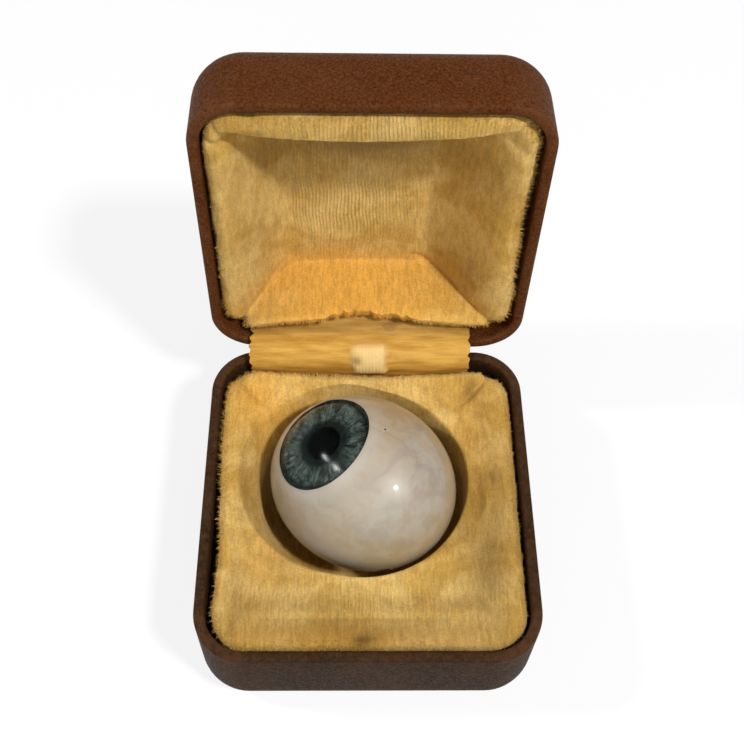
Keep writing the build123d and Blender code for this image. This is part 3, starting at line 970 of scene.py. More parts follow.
@dataclass
class CaseSkins:
    """Leatherette of the base and the lid, turned in over their rims."""

    width: float = 40.0
    depth: float = 41.5
    corner_r: float = 6.0
    skin: float = 0.3
    rim: float = 1.3
    turned_in: float = 2.8
    rim_edge_r: float = 0.42
    notch_half_width: float = 11.3
    notch_depth: float = 1.8
    dent: float = 0.07
    cell: float = 1.5
    base_edge_r: float = 5.7
    lid_edge_r: float = 5.4
    lid_height: float = 12.0
    lid_mouth_z: float = 15.8

    def tray(self, name: str, height: float, edge_r: float) -> Piece:
        """Shape a tray's skin from a block, its mouth upwards.

        Args:
            name: The piece's name.
            height: From the underside to the rim.
            edge_r: The radius where wall and floor meet.

        Returns:
            The skin, with its edges marked for wear.
        """
        Piece.clear()
        size = (self.width, self.depth, height)
        bpy.ops.mesh.primitive_cube_add(size=1.0, location=(0, 0, height / 2), scale=size)
        piece = Piece(name)
        piece.pick(Kind.EDGE, lambda place, way: abs(way.z) > 0.9)
        bpy.ops.mesh.bevel(offset=self.corner_r, segments=14, affect="EDGES")
        piece.done()
        piece.pick(Kind.EDGE, lambda place, way: place.z < 0.01)
        bpy.ops.mesh.bevel(offset=edge_r, segments=12, affect="EDGES")
        piece.done()
        piece.pick(Kind.FACE, lambda place, way: way.z > 0.9 and place.z > height - 0.01)
        bpy.ops.mesh.inset(thickness=self.rim)
        bpy.ops.mesh.extrude_region_move(TRANSFORM_OT_translate={"value": (0, 0, -self.turned_in)})
        bpy.ops.mesh.delete(type="FACE")
        piece.done()
        self.grid_up(piece, height)
        piece.pick(Kind.EDGE, lambda place, way: place.z > height - 0.01 and abs(way.z) < 0.1
                   and self.on_rim_line(place))
        bpy.ops.mesh.bevel(offset=self.rim_edge_r, segments=4, affect="EDGES")
        piece.done()
        piece.outward()
        piece.modify("SOLIDIFY", thickness=self.skin, offset=-1.0, use_even_offset=True)
        self.cut_notch(piece, height)
        self.age(piece, height, edge_r)
        return piece

    def inset_of(self, x: float, y: float) -> float:
        """Give how far a place lies inside the case's outline.

        Args:
            x: The place's x.
            y: The place's y.

        Returns:
            The distance to the outline, below 0 outside it.
        """
        across = max(abs(x) - self.width / 2 + self.corner_r, 0.0)
        along = max(abs(y) - self.depth / 2 + self.corner_r, 0.0)
        flat = max(abs(x) - self.width / 2, abs(y) - self.depth / 2)
        if across > 0.0 and along > 0.0:
            return self.corner_r - math.hypot(across, along)
        return -flat

    def on_rim_line(self, place: Vector) -> bool:
        """Tell whether a place lies on the outer or the inner line of the rim."""
        inset = self.inset_of(place.x, place.y)
        return inset < 0.1 or inset > self.rim - 0.1

    def grid_up(self, piece: Piece, height: float) -> None:
        """Cut the flats into small cells, so that they can be dented.

        Args:
            piece: The skin.
            height: From the underside to the rim.
        """
        for axis, span in (((1, 0, 0), self.width), ((0, 1, 0), self.depth)):
            half = span / 2 - self.corner_r
            for step in np.arange(-half + self.cell, half, self.cell):
                piece.everything()
                bpy.ops.mesh.bisect(plane_co=tuple(step * part for part in axis), plane_no=axis)
                piece.done()
        for step in np.arange(height / 2, height - 1.0, self.cell):
            piece.everything()
            bpy.ops.mesh.bisect(plane_co=(0, 0, step), plane_no=(0, 0, 1))
            piece.done()

    def cut_notch(self, piece: Piece, height: float) -> None:
        """Open the back wall where the hinge barrel lies.

        Args:
            piece: The skin.
            height: From the underside to the rim.
        """
        Piece.clear()
        size = (2 * self.notch_half_width, 2.2 * self.rim, 2 * self.notch_depth)
        bpy.ops.mesh.primitive_cube_add(size=1.0, location=(0, self.depth / 2, height), scale=size)
        piece.cut(Piece("notch"))

    def age(self, piece: Piece, height: float, edge_r: float) -> None:
        """Dent the walls a little and mark where the skin is rubbed and where a highlight is painted
        along the rim.

        Args:
            piece: The skin.
            height: From the underside to the rim.
            edge_r: The radius where wall and floor meet.
        """
        points = piece.points()
        slow = ripple(points, 9.0, height)
        quick = ripple(points, 2.2, height + 3.0)
        middle = np.array((0.0, 0.0, height / 2))
        way = points - middle
        way /= np.linalg.norm(way, axis=1)[:, None]
        piece.shape(points - way * (self.dent * (0.6 + slow) + 0.02 * quick)[:, None])
        # The rim's share of the edge mark is a painted highlight as well as wear.
        rim = 1.0 - smooth((height - points[:, 2]) / 1.1)
        foot = np.exp(-(((points[:, 2] - 0.35 * edge_r) / 1.6) ** 2))
        across = np.abs(points[:, 0]) > self.width / 2 - self.corner_r
        along = np.abs(points[:, 1]) > self.depth / 2 - self.corner_r
        corner = np.where(across & along, 0.35, 0.0)
        piece.mark("edge", 0.75 * rim + 0.3 * foot + corner)

    def build(self) -> None:
        """Make both skins and set them on their bodies."""
        base_low, base_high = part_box("base_cover")
        base = self.tray("base_leatherette", (base_high.z - base_low.z) / MM,
                         self.base_edge_r)
        base.settle(SHADED_BASE_LEATHER.material(), "leatherette")
        base.ride(Body.BASE)
        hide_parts("base_cover")
        lid = self.tray("lid_leatherette", self.lid_height, self.lid_edge_r)
        crown = self.lid_mouth_z + self.lid_height
        lid.turn(Matrix.Translation((0, 0, crown)) @ Matrix.Rotation(math.pi, 4, "Y"))
        lid.turn(SHUT_TO_OPEN)
        lid.settle(LIT_LID_LEATHER.material(), "leatherette")
        lid.ride(Body.LID)
        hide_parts("lid_cover")


@dataclass
class Lining:
    """A velvet pad as a closed shell, shaped ring by ring out from a middle."""

    name: str
    node: str
    middle: Spot
    half_width: float = 18.35
    front_y: float = -19.1
    hinge_y: float = 18.2
    corner_r: float = 4.35
    arch: float = 1.3
    arch_half: float = 15.5
    ragged: float = 0.12
    roll_r: float = 1.3
    thread_lift: float = 0.22
    thread_sink: float = 0.08
    segments: int = 480
    stains_and_shading: dict[str, list[Patch]] = field(default_factory=dict)
    folds: list[Fold] = field(default_factory=list)
    gaps: list[Patch] = field(default_factory=list)

    def hinge_edge(self, x: np.ndarray) -> np.ndarray:
        """Give where the pad ends towards the hinge, arched in at the middle."""
        return self.hinge_y - self.arch * np.clip(1.0 - (x / self.arch_half) ** 2, 0.0, 1.0)

    def inset(self, x: np.ndarray, y: np.ndarray) -> np.ndarray:
        """Give how far each place lies inside the pad's outline.

        Args:
            x: The places' x.
            y: The places' y.

        Returns:
            The distance to the outline, below 0 outside it.
        """
        middle_y = (self.front_y + self.hinge_y) / 2
        half_depth = (self.hinge_y - self.front_y) / 2
        across = np.abs(x) - self.half_width + self.corner_r
        along = np.abs(y - middle_y) - half_depth + self.corner_r
        outside = np.hypot(np.maximum(across, 0.0), np.maximum(along, 0.0))
        block = self.corner_r - outside - np.minimum(np.maximum(across, along), 0.0)
        return np.minimum(block, self.hinge_edge(x) - y)

    def reach(self, angles: np.ndarray) -> np.ndarray:
        """Find how far the outline lies from the middle along each angle.

        Args:
            angles: The angles about the middle.

        Returns:
            A radius for each angle.
        """
        low = np.zeros_like(angles)
        high = np.full_like(angles, 2.0 * self.half_width)
        for _ in range(40):
            half = (low + high) / 2
            inside = self.inset(*self.places(angles, half)) > 0.0
            low = np.where(inside, half, low)
            high = np.where(inside, high, half)
        x, y = self.places(angles, low)
        tufts = ripple(np.stack((x, y, 0 * x), axis=1), 0.9, 5.0)
        waves = ripple(np.stack((x, y, 0 * x), axis=1), 4.0, 9.0)
        drawn_in = sum((gap.over(x, y) for gap in self.gaps), np.zeros_like(x))
        return low - drawn_in + self.ragged * (0.6 * tufts + waves - 0.4)

    def places(self, angles: np.ndarray, radii: np.ndarray) -> tuple[np.ndarray, np.ndarray]:
        """Give x and y of the places at a radius along each angle.

        Args:
            angles: The angles about the middle.
            radii: The radius at each.

        Returns:
            The places' x and y.
        """
        x = self.middle[0] + radii * np.cos(angles)
        y = self.middle[1] + radii * np.sin(angles)
        return x, y

    def grooves(self, x: np.ndarray, y: np.ndarray) -> np.ndarray:
        """Add up the depth of all folds at each place."""
        return sum((fold.over(x, y) for fold in self.folds), np.zeros_like(x))

    def rows(self, angles: np.ndarray) -> Rings:
        """Give radius and height of each ring from the upper middle to the lower middle."""
        raise NotImplementedError

    def side_rows(self, reach: np.ndarray, edge_z: np.ndarray, up: float, back_z: float,
                  foot_r: float) -> Rings:
        """Give the rings that roll over the edge, run down the side and close the back.

        Args:
            reach: The outline's distance along each angle.
            edge_z: The height where the roll starts.
            up: 1 where the pad's face is on top, -1 where it faces down.
            back_z: The height of the flat back.
            foot_r: The radius where side and back meet.

        Returns:
            The radius and height of each ring, from the roll to the back's middle.
        """
        rows = []
        for share in np.linspace(0.0, 1.0, 9):
            swing = share * math.pi / 2
            rows.append((reach - self.roll_r * (1.0 - math.sin(swing)),
                         edge_z - up * self.roll_r * (1.0 - math.cos(swing))))
        side_r, side_z = rows[-1]
        foot_z = back_z + up * foot_r
        for share in (0.33, 0.66):
            rows.append((side_r, side_z + (foot_z - side_z) * share))
        for share in np.linspace(0.0, 1.0, 7):
            swing = share * math.pi / 2
            rows.append((side_r - foot_r * (1.0 - math.cos(swing)),
                         np.full_like(side_r, foot_z - up * foot_r * math.sin(swing))))
        foot_edge = rows[-1][0]
        for share in (0.6, 0.25, 0.0):
            rows.append((foot_edge * share, np.full_like(side_r, back_z)))
        return rows

    def shell(self) -> Piece:
        """Shape the pad, still in millimetres, and store its stains and painted shading.

        Returns:
            The closed pad.
        """
        angles = 2 * np.pi * np.arange(self.segments) / self.segments
        rows = self.rows(angles)
        piece, ring, column = round_grid(self.name, self.segments, len(rows) - 1)
        radii = np.stack([np.broadcast_to(row[0], angles.shape) for row in rows])
        heights = np.stack([np.broadcast_to(row[1], angles.shape) for row in rows])
        x, y = self.places(angles[column], radii[ring, column])
        points = np.stack((x, y, heights[ring, column]), axis=1)
        tufts = 0.035 * ripple(points, 0.55, 2.0) + 0.05 * ripple(points, 1.7, 4.0)
        points[:, 2] += tufts
        piece.shape(points)
        for name in ("worn", "amber", "soil"):
            patches = self.stains_and_shading.get(name, [])
            level = sum((patch.over(x, y) for patch in patches), np.zeros_like(x))
            piece.mark(name, level)
        piece.outward()
        return piece

    def fringe(self, name: str, count: int, seed: int, lean: Callable[[np.ndarray, np.ndarray],
               np.ndarray], up: float) -> Piece:
        """Make loose pile threads that stand out from the rolled edge.

        Args:
            name: The piece's name.
            count: How many threads there are.
            seed: Starts the random draws.
            lean: Gives a length factor for threads at x and y.
            up: 1 where the pad's face is on top, -1 where it faces down.

        Returns:
            The threads, as one piece.
        """
        rng = np.random.default_rng(seed)
        angles = rng.uniform(0.0, 2 * np.pi, count)
        swing = rng.uniform(0.15, 1.25, count)
        steps = np.linspace(0.0, 2 * np.pi, self.segments + 1)
        reach_at = self.reach(steps)
        edge_at = self.edge_height(steps, reach_at)
        reach = np.interp(angles, steps, reach_at)
        edge_z = np.interp(angles, steps, edge_at)
        radii = reach - self.roll_r * (1.0 - np.sin(swing))
        x, y = self.places(angles, radii)
        z = edge_z - up * self.roll_r * (1.0 - np.cos(swing))
        length = rng.uniform(0.22, 0.5, count) * lean(x, y)
        width = rng.uniform(0.035, 0.06, count)
        tip_out = length * (np.sin(swing) + rng.uniform(-0.3, 0.4, count))
        tip_side = length * rng.uniform(-0.5, 0.5, count)
        rise = length * (np.cos(swing) * 0.7 + rng.uniform(-0.2, 0.3, count))
        tip_up = np.minimum(rise, self.thread_lift)
        out = np.stack((np.cos(angles), np.sin(angles)), axis=1)
        side = np.stack((-out[:, 1], out[:, 0]), axis=1)
        root = np.stack((x, y, z), axis=1)
        tip = root.copy()
        tip[:, :2] += out * tip_out[:, None] + side * tip_side[:, None]
        tip[:, 2] += up * tip_up
        across = np.append(side, np.zeros((count, 1)), axis=1) * width[:, None]
        inward = np.append(-out, np.zeros((count, 1)), axis=1) * width[:, None]
        sink = np.array((0.0, 0.0, -up * self.thread_sink))
        feet = np.stack((root + across + sink, root - across + sink, root + inward + sink), axis=1)
        Piece.clear()
        bpy.ops.mesh.primitive_cone_add(vertices=3, radius1=1.0, radius2=0.0, depth=1.0)
        piece = Piece(name)
        piece.modify("ARRAY", count=count, use_relative_offset=False)
        points = piece.points()
        is_tip = points[:, 2] > 0.0
        points[is_tip] = tip
        points[~is_tip] = feet.reshape(-1, 3)
        piece.shape(points)
        points = piece.points()
        for mark in ("worn", "amber", "soil"):
            patches = [] if mark == "worn" else self.stains_and_shading.get(mark, [])
            level = sum((patch.over(points[:, 0], points[:, 1]) for patch in patches),
                        np.zeros(len(points)))
            piece.mark(mark, level)
        piece.everything()
        bpy.ops.mesh.normals_make_consistent(inside=False)
        piece.done()
        return piece

    def edge_height(self, angles: np.ndarray, reach: np.ndarray) -> np.ndarray:
        """Give the height where the roll starts along each angle."""
        raise NotImplementedError

    def filling(self, name: str, skin: float) -> Piece:
        """Shape what the velvet is stuffed with, a skin's thickness inside it all round.

        Args:
            name: The filling's name.
            skin: The velvet's thickness.

        Returns:
            The filling, a closed piece.
        """
        piece = replace(self, name=name, segments=240, stains_and_shading={}).shell()
        normals = np.zeros(3 * len(piece.obj.data.vertices))
        piece.obj.data.vertices.foreach_get("normal", normals)
        piece.shape(piece.points() - skin * normals.reshape(-1, 3))
        return piece


@dataclass
class BaseLining(Lining):
    """The base's velvet: a shallow hopper round the socket that the eye lies in."""

    top_z: float = 15.3
    back_z: float = 1.6
    floor_z: float = 2.5
    socket_r: float = 12.7
    bend_r: float = 7.2
    foot_r: float = 4.05
    wall_flare: float = 1.25
    soft_from: int = 5
    soft_to: int = 38
    soft_passes: int = 6

    def depth(self, x: np.ndarray, y: np.ndarray) -> np.ndarray:
        """Give how far the velvet lies below the pad's top at each place.

        Args:
            x: The places' x.
            y: The places' y.

        Returns:
            A depth in millimetres for each place.
        """
        left = 2.1 * smooth((x + self.half_width - 1.1) / 6.2)
        right = 2.3 * smooth((self.half_width - x - 1.3) / 6.0)
        front = 1.25 * smooth((y - self.front_y - 3.6) / 3.4)
        back = 1.5 * smooth((self.hinge_edge(x) - y - 0.3) / 3.4) + 0.35 * (1 - (x / 18.0) ** 2)
        bowl = soft_min(soft_min(left, front, 0.25), soft_min(right, back, 0.25), 0.3)
        return bowl + self.grooves(x, y)

    def mouth(self, angles: np.ndarray) -> np.ndarray:
        """Give the radius of the socket's mouth along each angle, widest on the left.

        Args:
            angles: The angles about the middle.

        Returns:
            A radius for each angle.
        """
        left = np.clip(np.cos(angles - math.radians(168)), 0.0, 1.0) ** 1.2
        right = np.clip(np.cos(angles - math.radians(8)), 0.0, 1.0) ** 3
        return self.socket_r + 0.15 + 2.4 * left + 0.25 * right

    def edge_height(self, angles: np.ndarray, reach: np.ndarray) -> np.ndarray:
        """Give the height where the roll starts along each angle."""
        return self.top_z - self.depth(*self.places(angles, reach - self.roll_r))

    def rows(self, angles: np.ndarray) -> Rings:
        """Give the rings of socket, lip, hopper, edge, side and back.

        Args:
            angles: The angles about the middle.

        Returns:
            The radius and height of each ring.
        """
        reach = self.reach(angles)
        mouth = self.mouth(angles)
        lip_z = self.top_z - self.depth(*self.places(angles, mouth))
        flat_r = self.socket_r - self.bend_r
        bend_z = self.floor_z + self.bend_r
        rows = [(flat_r * share, np.full_like(angles, self.floor_z))
                for share in np.linspace(0.0, 1.0, 5, endpoint=False)]
        for share in np.linspace(0.0, 1.0, 12, endpoint=False):
            swing = share * math.pi / 2
            rows.append((flat_r + self.bend_r * math.sin(swing),
                         np.full_like(angles, bend_z - self.bend_r * math.cos(swing))))
        first_wall = len(rows)
        for share in np.linspace(0.0, 1.0, 16, endpoint=False):
            rows.append((self.socket_r + (mouth - self.socket_r) * share**self.wall_flare,
                         bend_z + (lip_z - bend_z) * share))
        for share in np.linspace(0.0, 1.0, 52, endpoint=False):
            radius = mouth + (reach - self.roll_r - mouth) * share
            rows.append((radius, self.top_z - self.depth(*self.places(angles, radius))))
        last_top = len(rows)
        radii = np.stack([np.broadcast_to(row[0], angles.shape) for row in rows])
        heights = np.stack([np.broadcast_to(row[1], angles.shape) for row in rows])
        window = slice(first_wall + self.soft_from, last_top - self.soft_to)
        before = slice(window.start - 1, window.stop - 1)
        after = slice(window.start + 1, window.stop + 1)
        for _ in range(self.soft_passes):
            for grid in (radii, heights):
                grid[window] = 0.5 * grid[window] + 0.25 * (grid[before] + grid[after])
        rows = list(zip(radii, heights))
        edge_z = self.edge_height(angles, reach)
        return rows + self.side_rows(reach, edge_z, 1.0, self.back_z, self.foot_r)


@dataclass
class LidLining(Lining):
    """The lid's velvet, shut: a thick ridge along the free edge and a dished hollow behind it."""

    face_z: float = 16.0
    back_z: float = 26.2
    floor_depth: float = 9.3
    foot_r: float = 3.75

    def depth(self, x: np.ndarray, y: np.ndarray) -> np.ndarray:
        """Give how far the velvet lies inside the lid's mouth at each place.

        Args:
            x: The places' x.
            y: The places' y.

        Returns:
            A depth in millimetres for each place.
        """
        floor = self.floor_depth
        edge = self.hinge_edge(x)
        hinge = floor * smooth((edge - self.roll_r + 0.1 - y) / 1.6) ** 0.8
        left = floor * smooth((x + self.half_width - 1.0) / 8.8) ** 0.9
        right = floor * smooth((self.half_width - 1.2 - x) / 11.0) ** 0.9
        ridge_y = -15.6 - 0.9 * ((x + 2.0) / 13.0) ** 2
        fall = np.clip((y - ridge_y) / (4.0 + 11.0 * np.clip(1 - (x / 14.0) ** 2, 0, 1)), 0.0, 1.0)
        free = floor * (1.0 - (1.0 - fall) ** 2.2)
        bowl = soft_min(soft_min(left, right, 0.6), soft_min(hinge, free, 0.9), 1.2)
        crown = 0.35 * np.exp(-(((y - self.front_y - 1.9) / 1.3) ** 2))
        return bowl - crown * np.clip(1 - (x / 16) ** 4, 0, 1) + self.grooves(x, y)

    def edge_height(self, angles: np.ndarray, reach: np.ndarray) -> np.ndarray:
        """Give the height where the roll starts along each angle."""
        return self.face_z + self.depth(*self.places(angles, reach - self.roll_r))

    def rows(self, angles: np.ndarray) -> Rings:
        """Give the rings of hollow, edge, side and back.

        Args:
            angles: The angles about the middle.

        Returns:
            The radius and height of each ring.
        """
        reach = self.reach(angles)
        rows = []
        for share in np.linspace(0.0, 1.0, 100, endpoint=False):
            radius = (reach - self.roll_r) * share
            rows.append((radius, self.face_z + self.depth(*self.places(angles, radius))))
        edge_z = self.edge_height(angles, reach)
        return rows + self.side_rows(reach, edge_z, -1.0, self.back_z, self.foot_r)


@dataclass
class Linings:
    """Both velvet pads with their filling and their loose pile."""

    skin: float = 0.3

    @staticmethod
    def stuff(cotton: Piece, node: str, body: Body) -> None:
        """Dress a pad's cotton filling.

        Args:
            cotton: The filling.
            node: The node that it stands for.
            body: What it rides on.
        """
        cotton.settle(COTTON.material(), "wadding", 80.0)
        cotton.ride(body)
        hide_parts(node)

    def base(self) -> None:
        """Build the base's pad."""
        lining = BaseLining(
            name="base_lining", node="base_velvet", middle=(-0.65, 2.75), arch=0.4,
            stains_and_shading={
                "worn": [Patch(-1, -13.5, 13, 3.2, 0.9), Patch(0, 17, 8, 1.2, 0.5)],
                "amber": [Patch(-14, 14, 4, 4, 0.5), Patch(-3, -17.8, 14, 1.4, 0.45),
                          Patch(-12, -8, 3, 4, 0.3), Patch(14, 5, 3, 6, 0.25)],
                # Of the soil marks, the one at x -14 is painted shade on the socket's left slope, and
                # the broad one at x 15.5 darkens the pad towards the right.
                "soil": [Patch(-1, -17.3, 19, 2.2, 0.62), Patch(15.5, -2, 4.5, 14, 0.48),
                         Patch(-12, -13, 7, 3, 0.2), Patch(8, -12, 6, 3, 0.16),
                         Patch(-14, 0, 2.5, 8, 0.25), Patch(-10.5, -8, 3, 3, 0.3),
                         Patch(13.5, -9, 2.4, 5, 0.35), Patch(15.5, 2.5, 1.2, 1.2, 0.3),
                         Patch(-0.6, -18.2, 1.2, 0.6, 0.5), Patch(-15.4, -13, 1.2, 4, 0.3),
                         Patch(13.6, 15.6, 1.2, 1.6, 0.4), Patch(-16.3, 15, 1.2, 1.6, 0.2)],
            },
            folds=[
                Fold((15.6, 17.2), (11.6, 13.0), 0.55, 0.75),
                Fold((-16.8, 16.8), (-13.0, 13.2), 0.6, 0.5),
                Fold((-16.6, -17.2), (-12.6, -10.4), 0.7, 0.45),
                Fold((16.6, -17.2), (11.6, -10.2), 0.8, 0.4),
                Fold((-12.0, -15.6), (13.0, -15.5), 0.4, 0.22),
                Fold((-5.0, -10.9), (3.6, -10.6), 0.25, 0.16),
                Fold((-13.6, -6.6), (-9.2, -8.6), 0.5, 0.3),
            ],
            gaps=[Patch(-18.35, -9.0, 2.0, 8.0, 0.7)],
        )
        pad = lining.shell()
        pad.settle(VELVET.material(), "velvet", 80.0)
        pad.ride(Body.BASE)
        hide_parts(lining.node)
        self.stuff(lining.filling("base_cotton", self.skin), "base_wadding", Body.BASE)
        fringe = lining.fringe("base_pile", 3200, 11, lambda x, y: 0.7 + 0.5 * (x < 0), 1.0)
        fringe.settle(VELVET.material(), "velvet")
        fringe.ride(Body.BASE)

    def lid(self) -> None:
        """Build the lid's pad, turned open."""
        lining = LidLining(
            name="lid_lining", node="lid_velvet", middle=(-1.0, -0.5), hinge_y=17.6, arch=1.7,
            arch_half=16.5, ragged=0.2,
            stains_and_shading={
                "worn": [Patch(-3, -2, 8, 11, 0.9), Patch(3, -17.6, 11, 1.4, 0.8)],
                # The first amber mark, on the hinge-side slope, is an amber tint and painted light,
                # as that slope faces up into the light with the lid open.
                "amber": [Patch(-2, 14.6, 12, 2.8, 1.0), Patch(13, 0, 4, 9, 0.25)],
                # The first soil mark is a painted shadow that the ridge casts on the hollow's floor.
                "soil": [Patch(-1, -9.0, 12, 4.4, 0.85), Patch(-14, 3, 3, 9, 0.2),
                         Patch(0, -18.2, 17, 1.4, 0.16), Patch(12, 10, 4, 4, 0.1),
                         Patch(-8, 0, 3, 4, 0.15), Patch(-13, -16.6, 1.8, 0.7, 0.35)],
            },
            folds=[
                Fold((-16.9, 16.9), (-10.6, 12.6), 0.5, 0.6),
                Fold((15.9, 16.7), (5.9, 12.4), 0.6, 0.6),
                Fold((-18.2, -14.4), (-12.6, -15.4), 0.5, 0.7),
                Fold((13.0, -17.0), (17.0, -13.0), 0.8, 0.4),
                Fold((-10.4, 11.0), (-9.6, -6.0), 0.9, 0.35),
                Fold((7.0, 11.0), (8.4, -8.0), 1.0, 0.35),
            ],
            gaps=[Patch(18.35, -2.0, 2.0, 14.0, 0.5), Patch(-13.5, -19.1, 1.6, 1.0, 0.7)],
        )
        pad = lining.shell()
        fringe = lining.fringe("lid_pile", 4200, 12,
                               lambda x, y: 0.7 + 0.8 * ((x > 10) | (y > 12)), -1.0)
        for piece, sharp in ((pad, 80.0), (fringe, 40.0)):
            piece.turn(SHUT_TO_OPEN)
            piece.settle(VELVET.material(), "velvet", sharp)
            piece.ride(Body.LID)
        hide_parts(lining.node)
        cotton = lining.filling("lid_cotton", self.skin)
        cotton.turn(SHUT_TO_OPEN)
        self.stuff(cotton, "lid_wadding", Body.LID)


@dataclass
class HingeDress:
    """The sateen strip inside the hinge and the leatherette spine behind it."""

    strip_left: float = -15.5
    strip_right: float = 13.7
    strip_t: float = 0.25
    strip_line: tuple[Spot, ...] = (
        (18.65, 12.45), (18.45, 14.4), (18.2, 15.9), (18.7, 17.2), (20.0, 17.95), (21.8, 17.9),
        (24.7, 17.4))
    spine_half: float = 13.0
    spine_t: float = 0.3
    spine_line: tuple[Spot, ...] = (
        (21.0, 11.3), (21.0, 13.9), (21.65, 14.7), (22.6, 15.35), (25.6, 15.3))
    pad_half: float = 2.6
    bow: float = 0.4
    rise: float = 2.4

    @staticmethod
    def along(line: tuple[Spot, ...], shares: np.ndarray) -> tuple[np.ndarray, np.ndarray, float]:
        """Run smoothly along a line of (y, z) points.

        Args:
            line: The points, as listed.
            shares: Where along the line, from 0 to 1.

        Returns:
            The y and z at each share, and the line's length.
        """
        path = np.array(line)
        for _ in range(4):
            early = 0.75 * path[:-1] + 0.25 * path[1:]
            late = 0.25 * path[:-1] + 0.75 * path[1:]
            middle = np.stack((early, late), axis=1).reshape(-1, 2)
            path = np.concatenate((path[:1], middle, path[-1:]))
        steps = np.concatenate(([0.0], np.cumsum(np.hypot(*np.diff(path, axis=0).T))))
        at = shares * steps[-1]
        return np.interp(at, steps, path[:, 0]), np.interp(at, steps, path[:, 1]), float(steps[-1])

    def ribbon(self, name: str, left: float, right: float, line: tuple[Spot, ...],
               cells: tuple[int, int]) -> tuple[Piece, np.ndarray, np.ndarray, float]:
        """Lay a flat grid along a line across the hinge.

        Args:
            name: The piece's name.
            left: Its lowest x.
            right: Its highest x.
            line: The (y, z) points that it follows.
            cells: How many cells it has across x and along the line.

        Returns:
            The piece, each point's x and share along the line, and the line's length.
        """
        Piece.clear()
        bpy.ops.mesh.primitive_grid_add(x_subdivisions=cells[0], y_subdivisions=cells[1], size=1.0)
        piece = Piece(name)
        flat = piece.points()
        x = left + (right - left) * (flat[:, 0] + 0.5)
        share = flat[:, 1] + 0.5
        y, z, length = self.along(line, share)
        piece.shape(np.stack((x, y, z), axis=1))
        return piece, x, share, length

    def strip(self) -> None:
        """Build the sateen strip with the pad over the spring, its ends frayed."""
        piece, x, share, length = self.ribbon(
            "sateen_strip", self.strip_left, self.strip_right, self.strip_line, (150, 56))
        points = piece.points()
        pad = smooth((self.pad_half - np.abs(x - 0.3) + 0.5 * ripple(points, 1.2, 8.0)) / 1.1)
        pad = pad * smooth((share - 0.16) / 0.1) * smooth((0.62 - share) / 0.12)
        fold = 0.12 * ripple(points * np.array((0.25, 1.0, 1.0)), 1.1, 3.0)
        bow = self.bow * np.clip(1.0 - (x / 15.5) ** 2, 0.0, 1.0)
        points[:, 1] -= bow * (1.0 - smooth((share - 0.3) / 0.35))
        points[:, 2] += self.rise / self.bow * bow * smooth((share - 0.6) / 0.4)
        points[:, 1] -= (0.45 * pad + fold) * (1.0 - smooth((share - 0.35) / 0.3))
        points[:, 2] += (0.45 * pad + fold) * smooth((share - 0.3) / 0.3)
        end = np.maximum(0.0, np.maximum(self.strip_left + 0.8 - x, x - self.strip_right + 0.8))
        fray = ripple(np.stack((0 * x, 14 * share, np.sign(x)), axis=1), 0.9, 1.0)
        points[:, 0] -= np.sign(x) * end * (0.5 + 0.7 * fray)
        piece.shape(points)
        piece.mark("pad", pad)
        spot = Patch(-1.4, 0.42, 0.7, 0.04, 0.7).over(x, share)
        # The mark near the strip's lid end is painted shadow, where the lid's velvet shades the
        # strip.
        lid_shadow = 0.35 * np.exp(-((share - 0.78) / 0.12) ** 2)
        piece.mark("soil", spot + lid_shadow)
        piece.modify("SOLIDIFY", thickness=self.strip_t, offset=0.0)
        piece.outward()
        piece.settle(SATEEN.material(), "sateen", 60.0)
        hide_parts("hinge_strip")
        self.bend(piece, self.strip_line)

    def spine(self) -> None:
        """Build the leatherette spine over the back of the hinge."""
        piece, x, share, _ = self.ribbon("spine_leatherette", -self.spine_half, self.spine_half,
                                         self.spine_line, (104, 40))
        points = piece.points()
        points[:, 1] += 0.05 * ripple(points, 2.5, 6.0)
        piece.shape(points)
        piece.mark("edge", 0.6 * np.exp(-((share - 0.5) / 0.2) ** 2))
        piece.modify("SOLIDIFY", thickness=self.spine_t, offset=0.0)
        piece.outward()
        piece.settle(SHADED_BASE_LEATHER.material(), "leatherette", 60.0)
        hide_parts("spine_strip")
        self.bend(piece, self.spine_line)

    @staticmethod
    def bend(piece: Piece, line: tuple[Spot, ...]) -> None:
        """Bake the strip's object transform into its mesh.

        Args:
            piece: The strip.
            line: The (y, z) points that it follows; not used.
        """
        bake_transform(piece.obj)


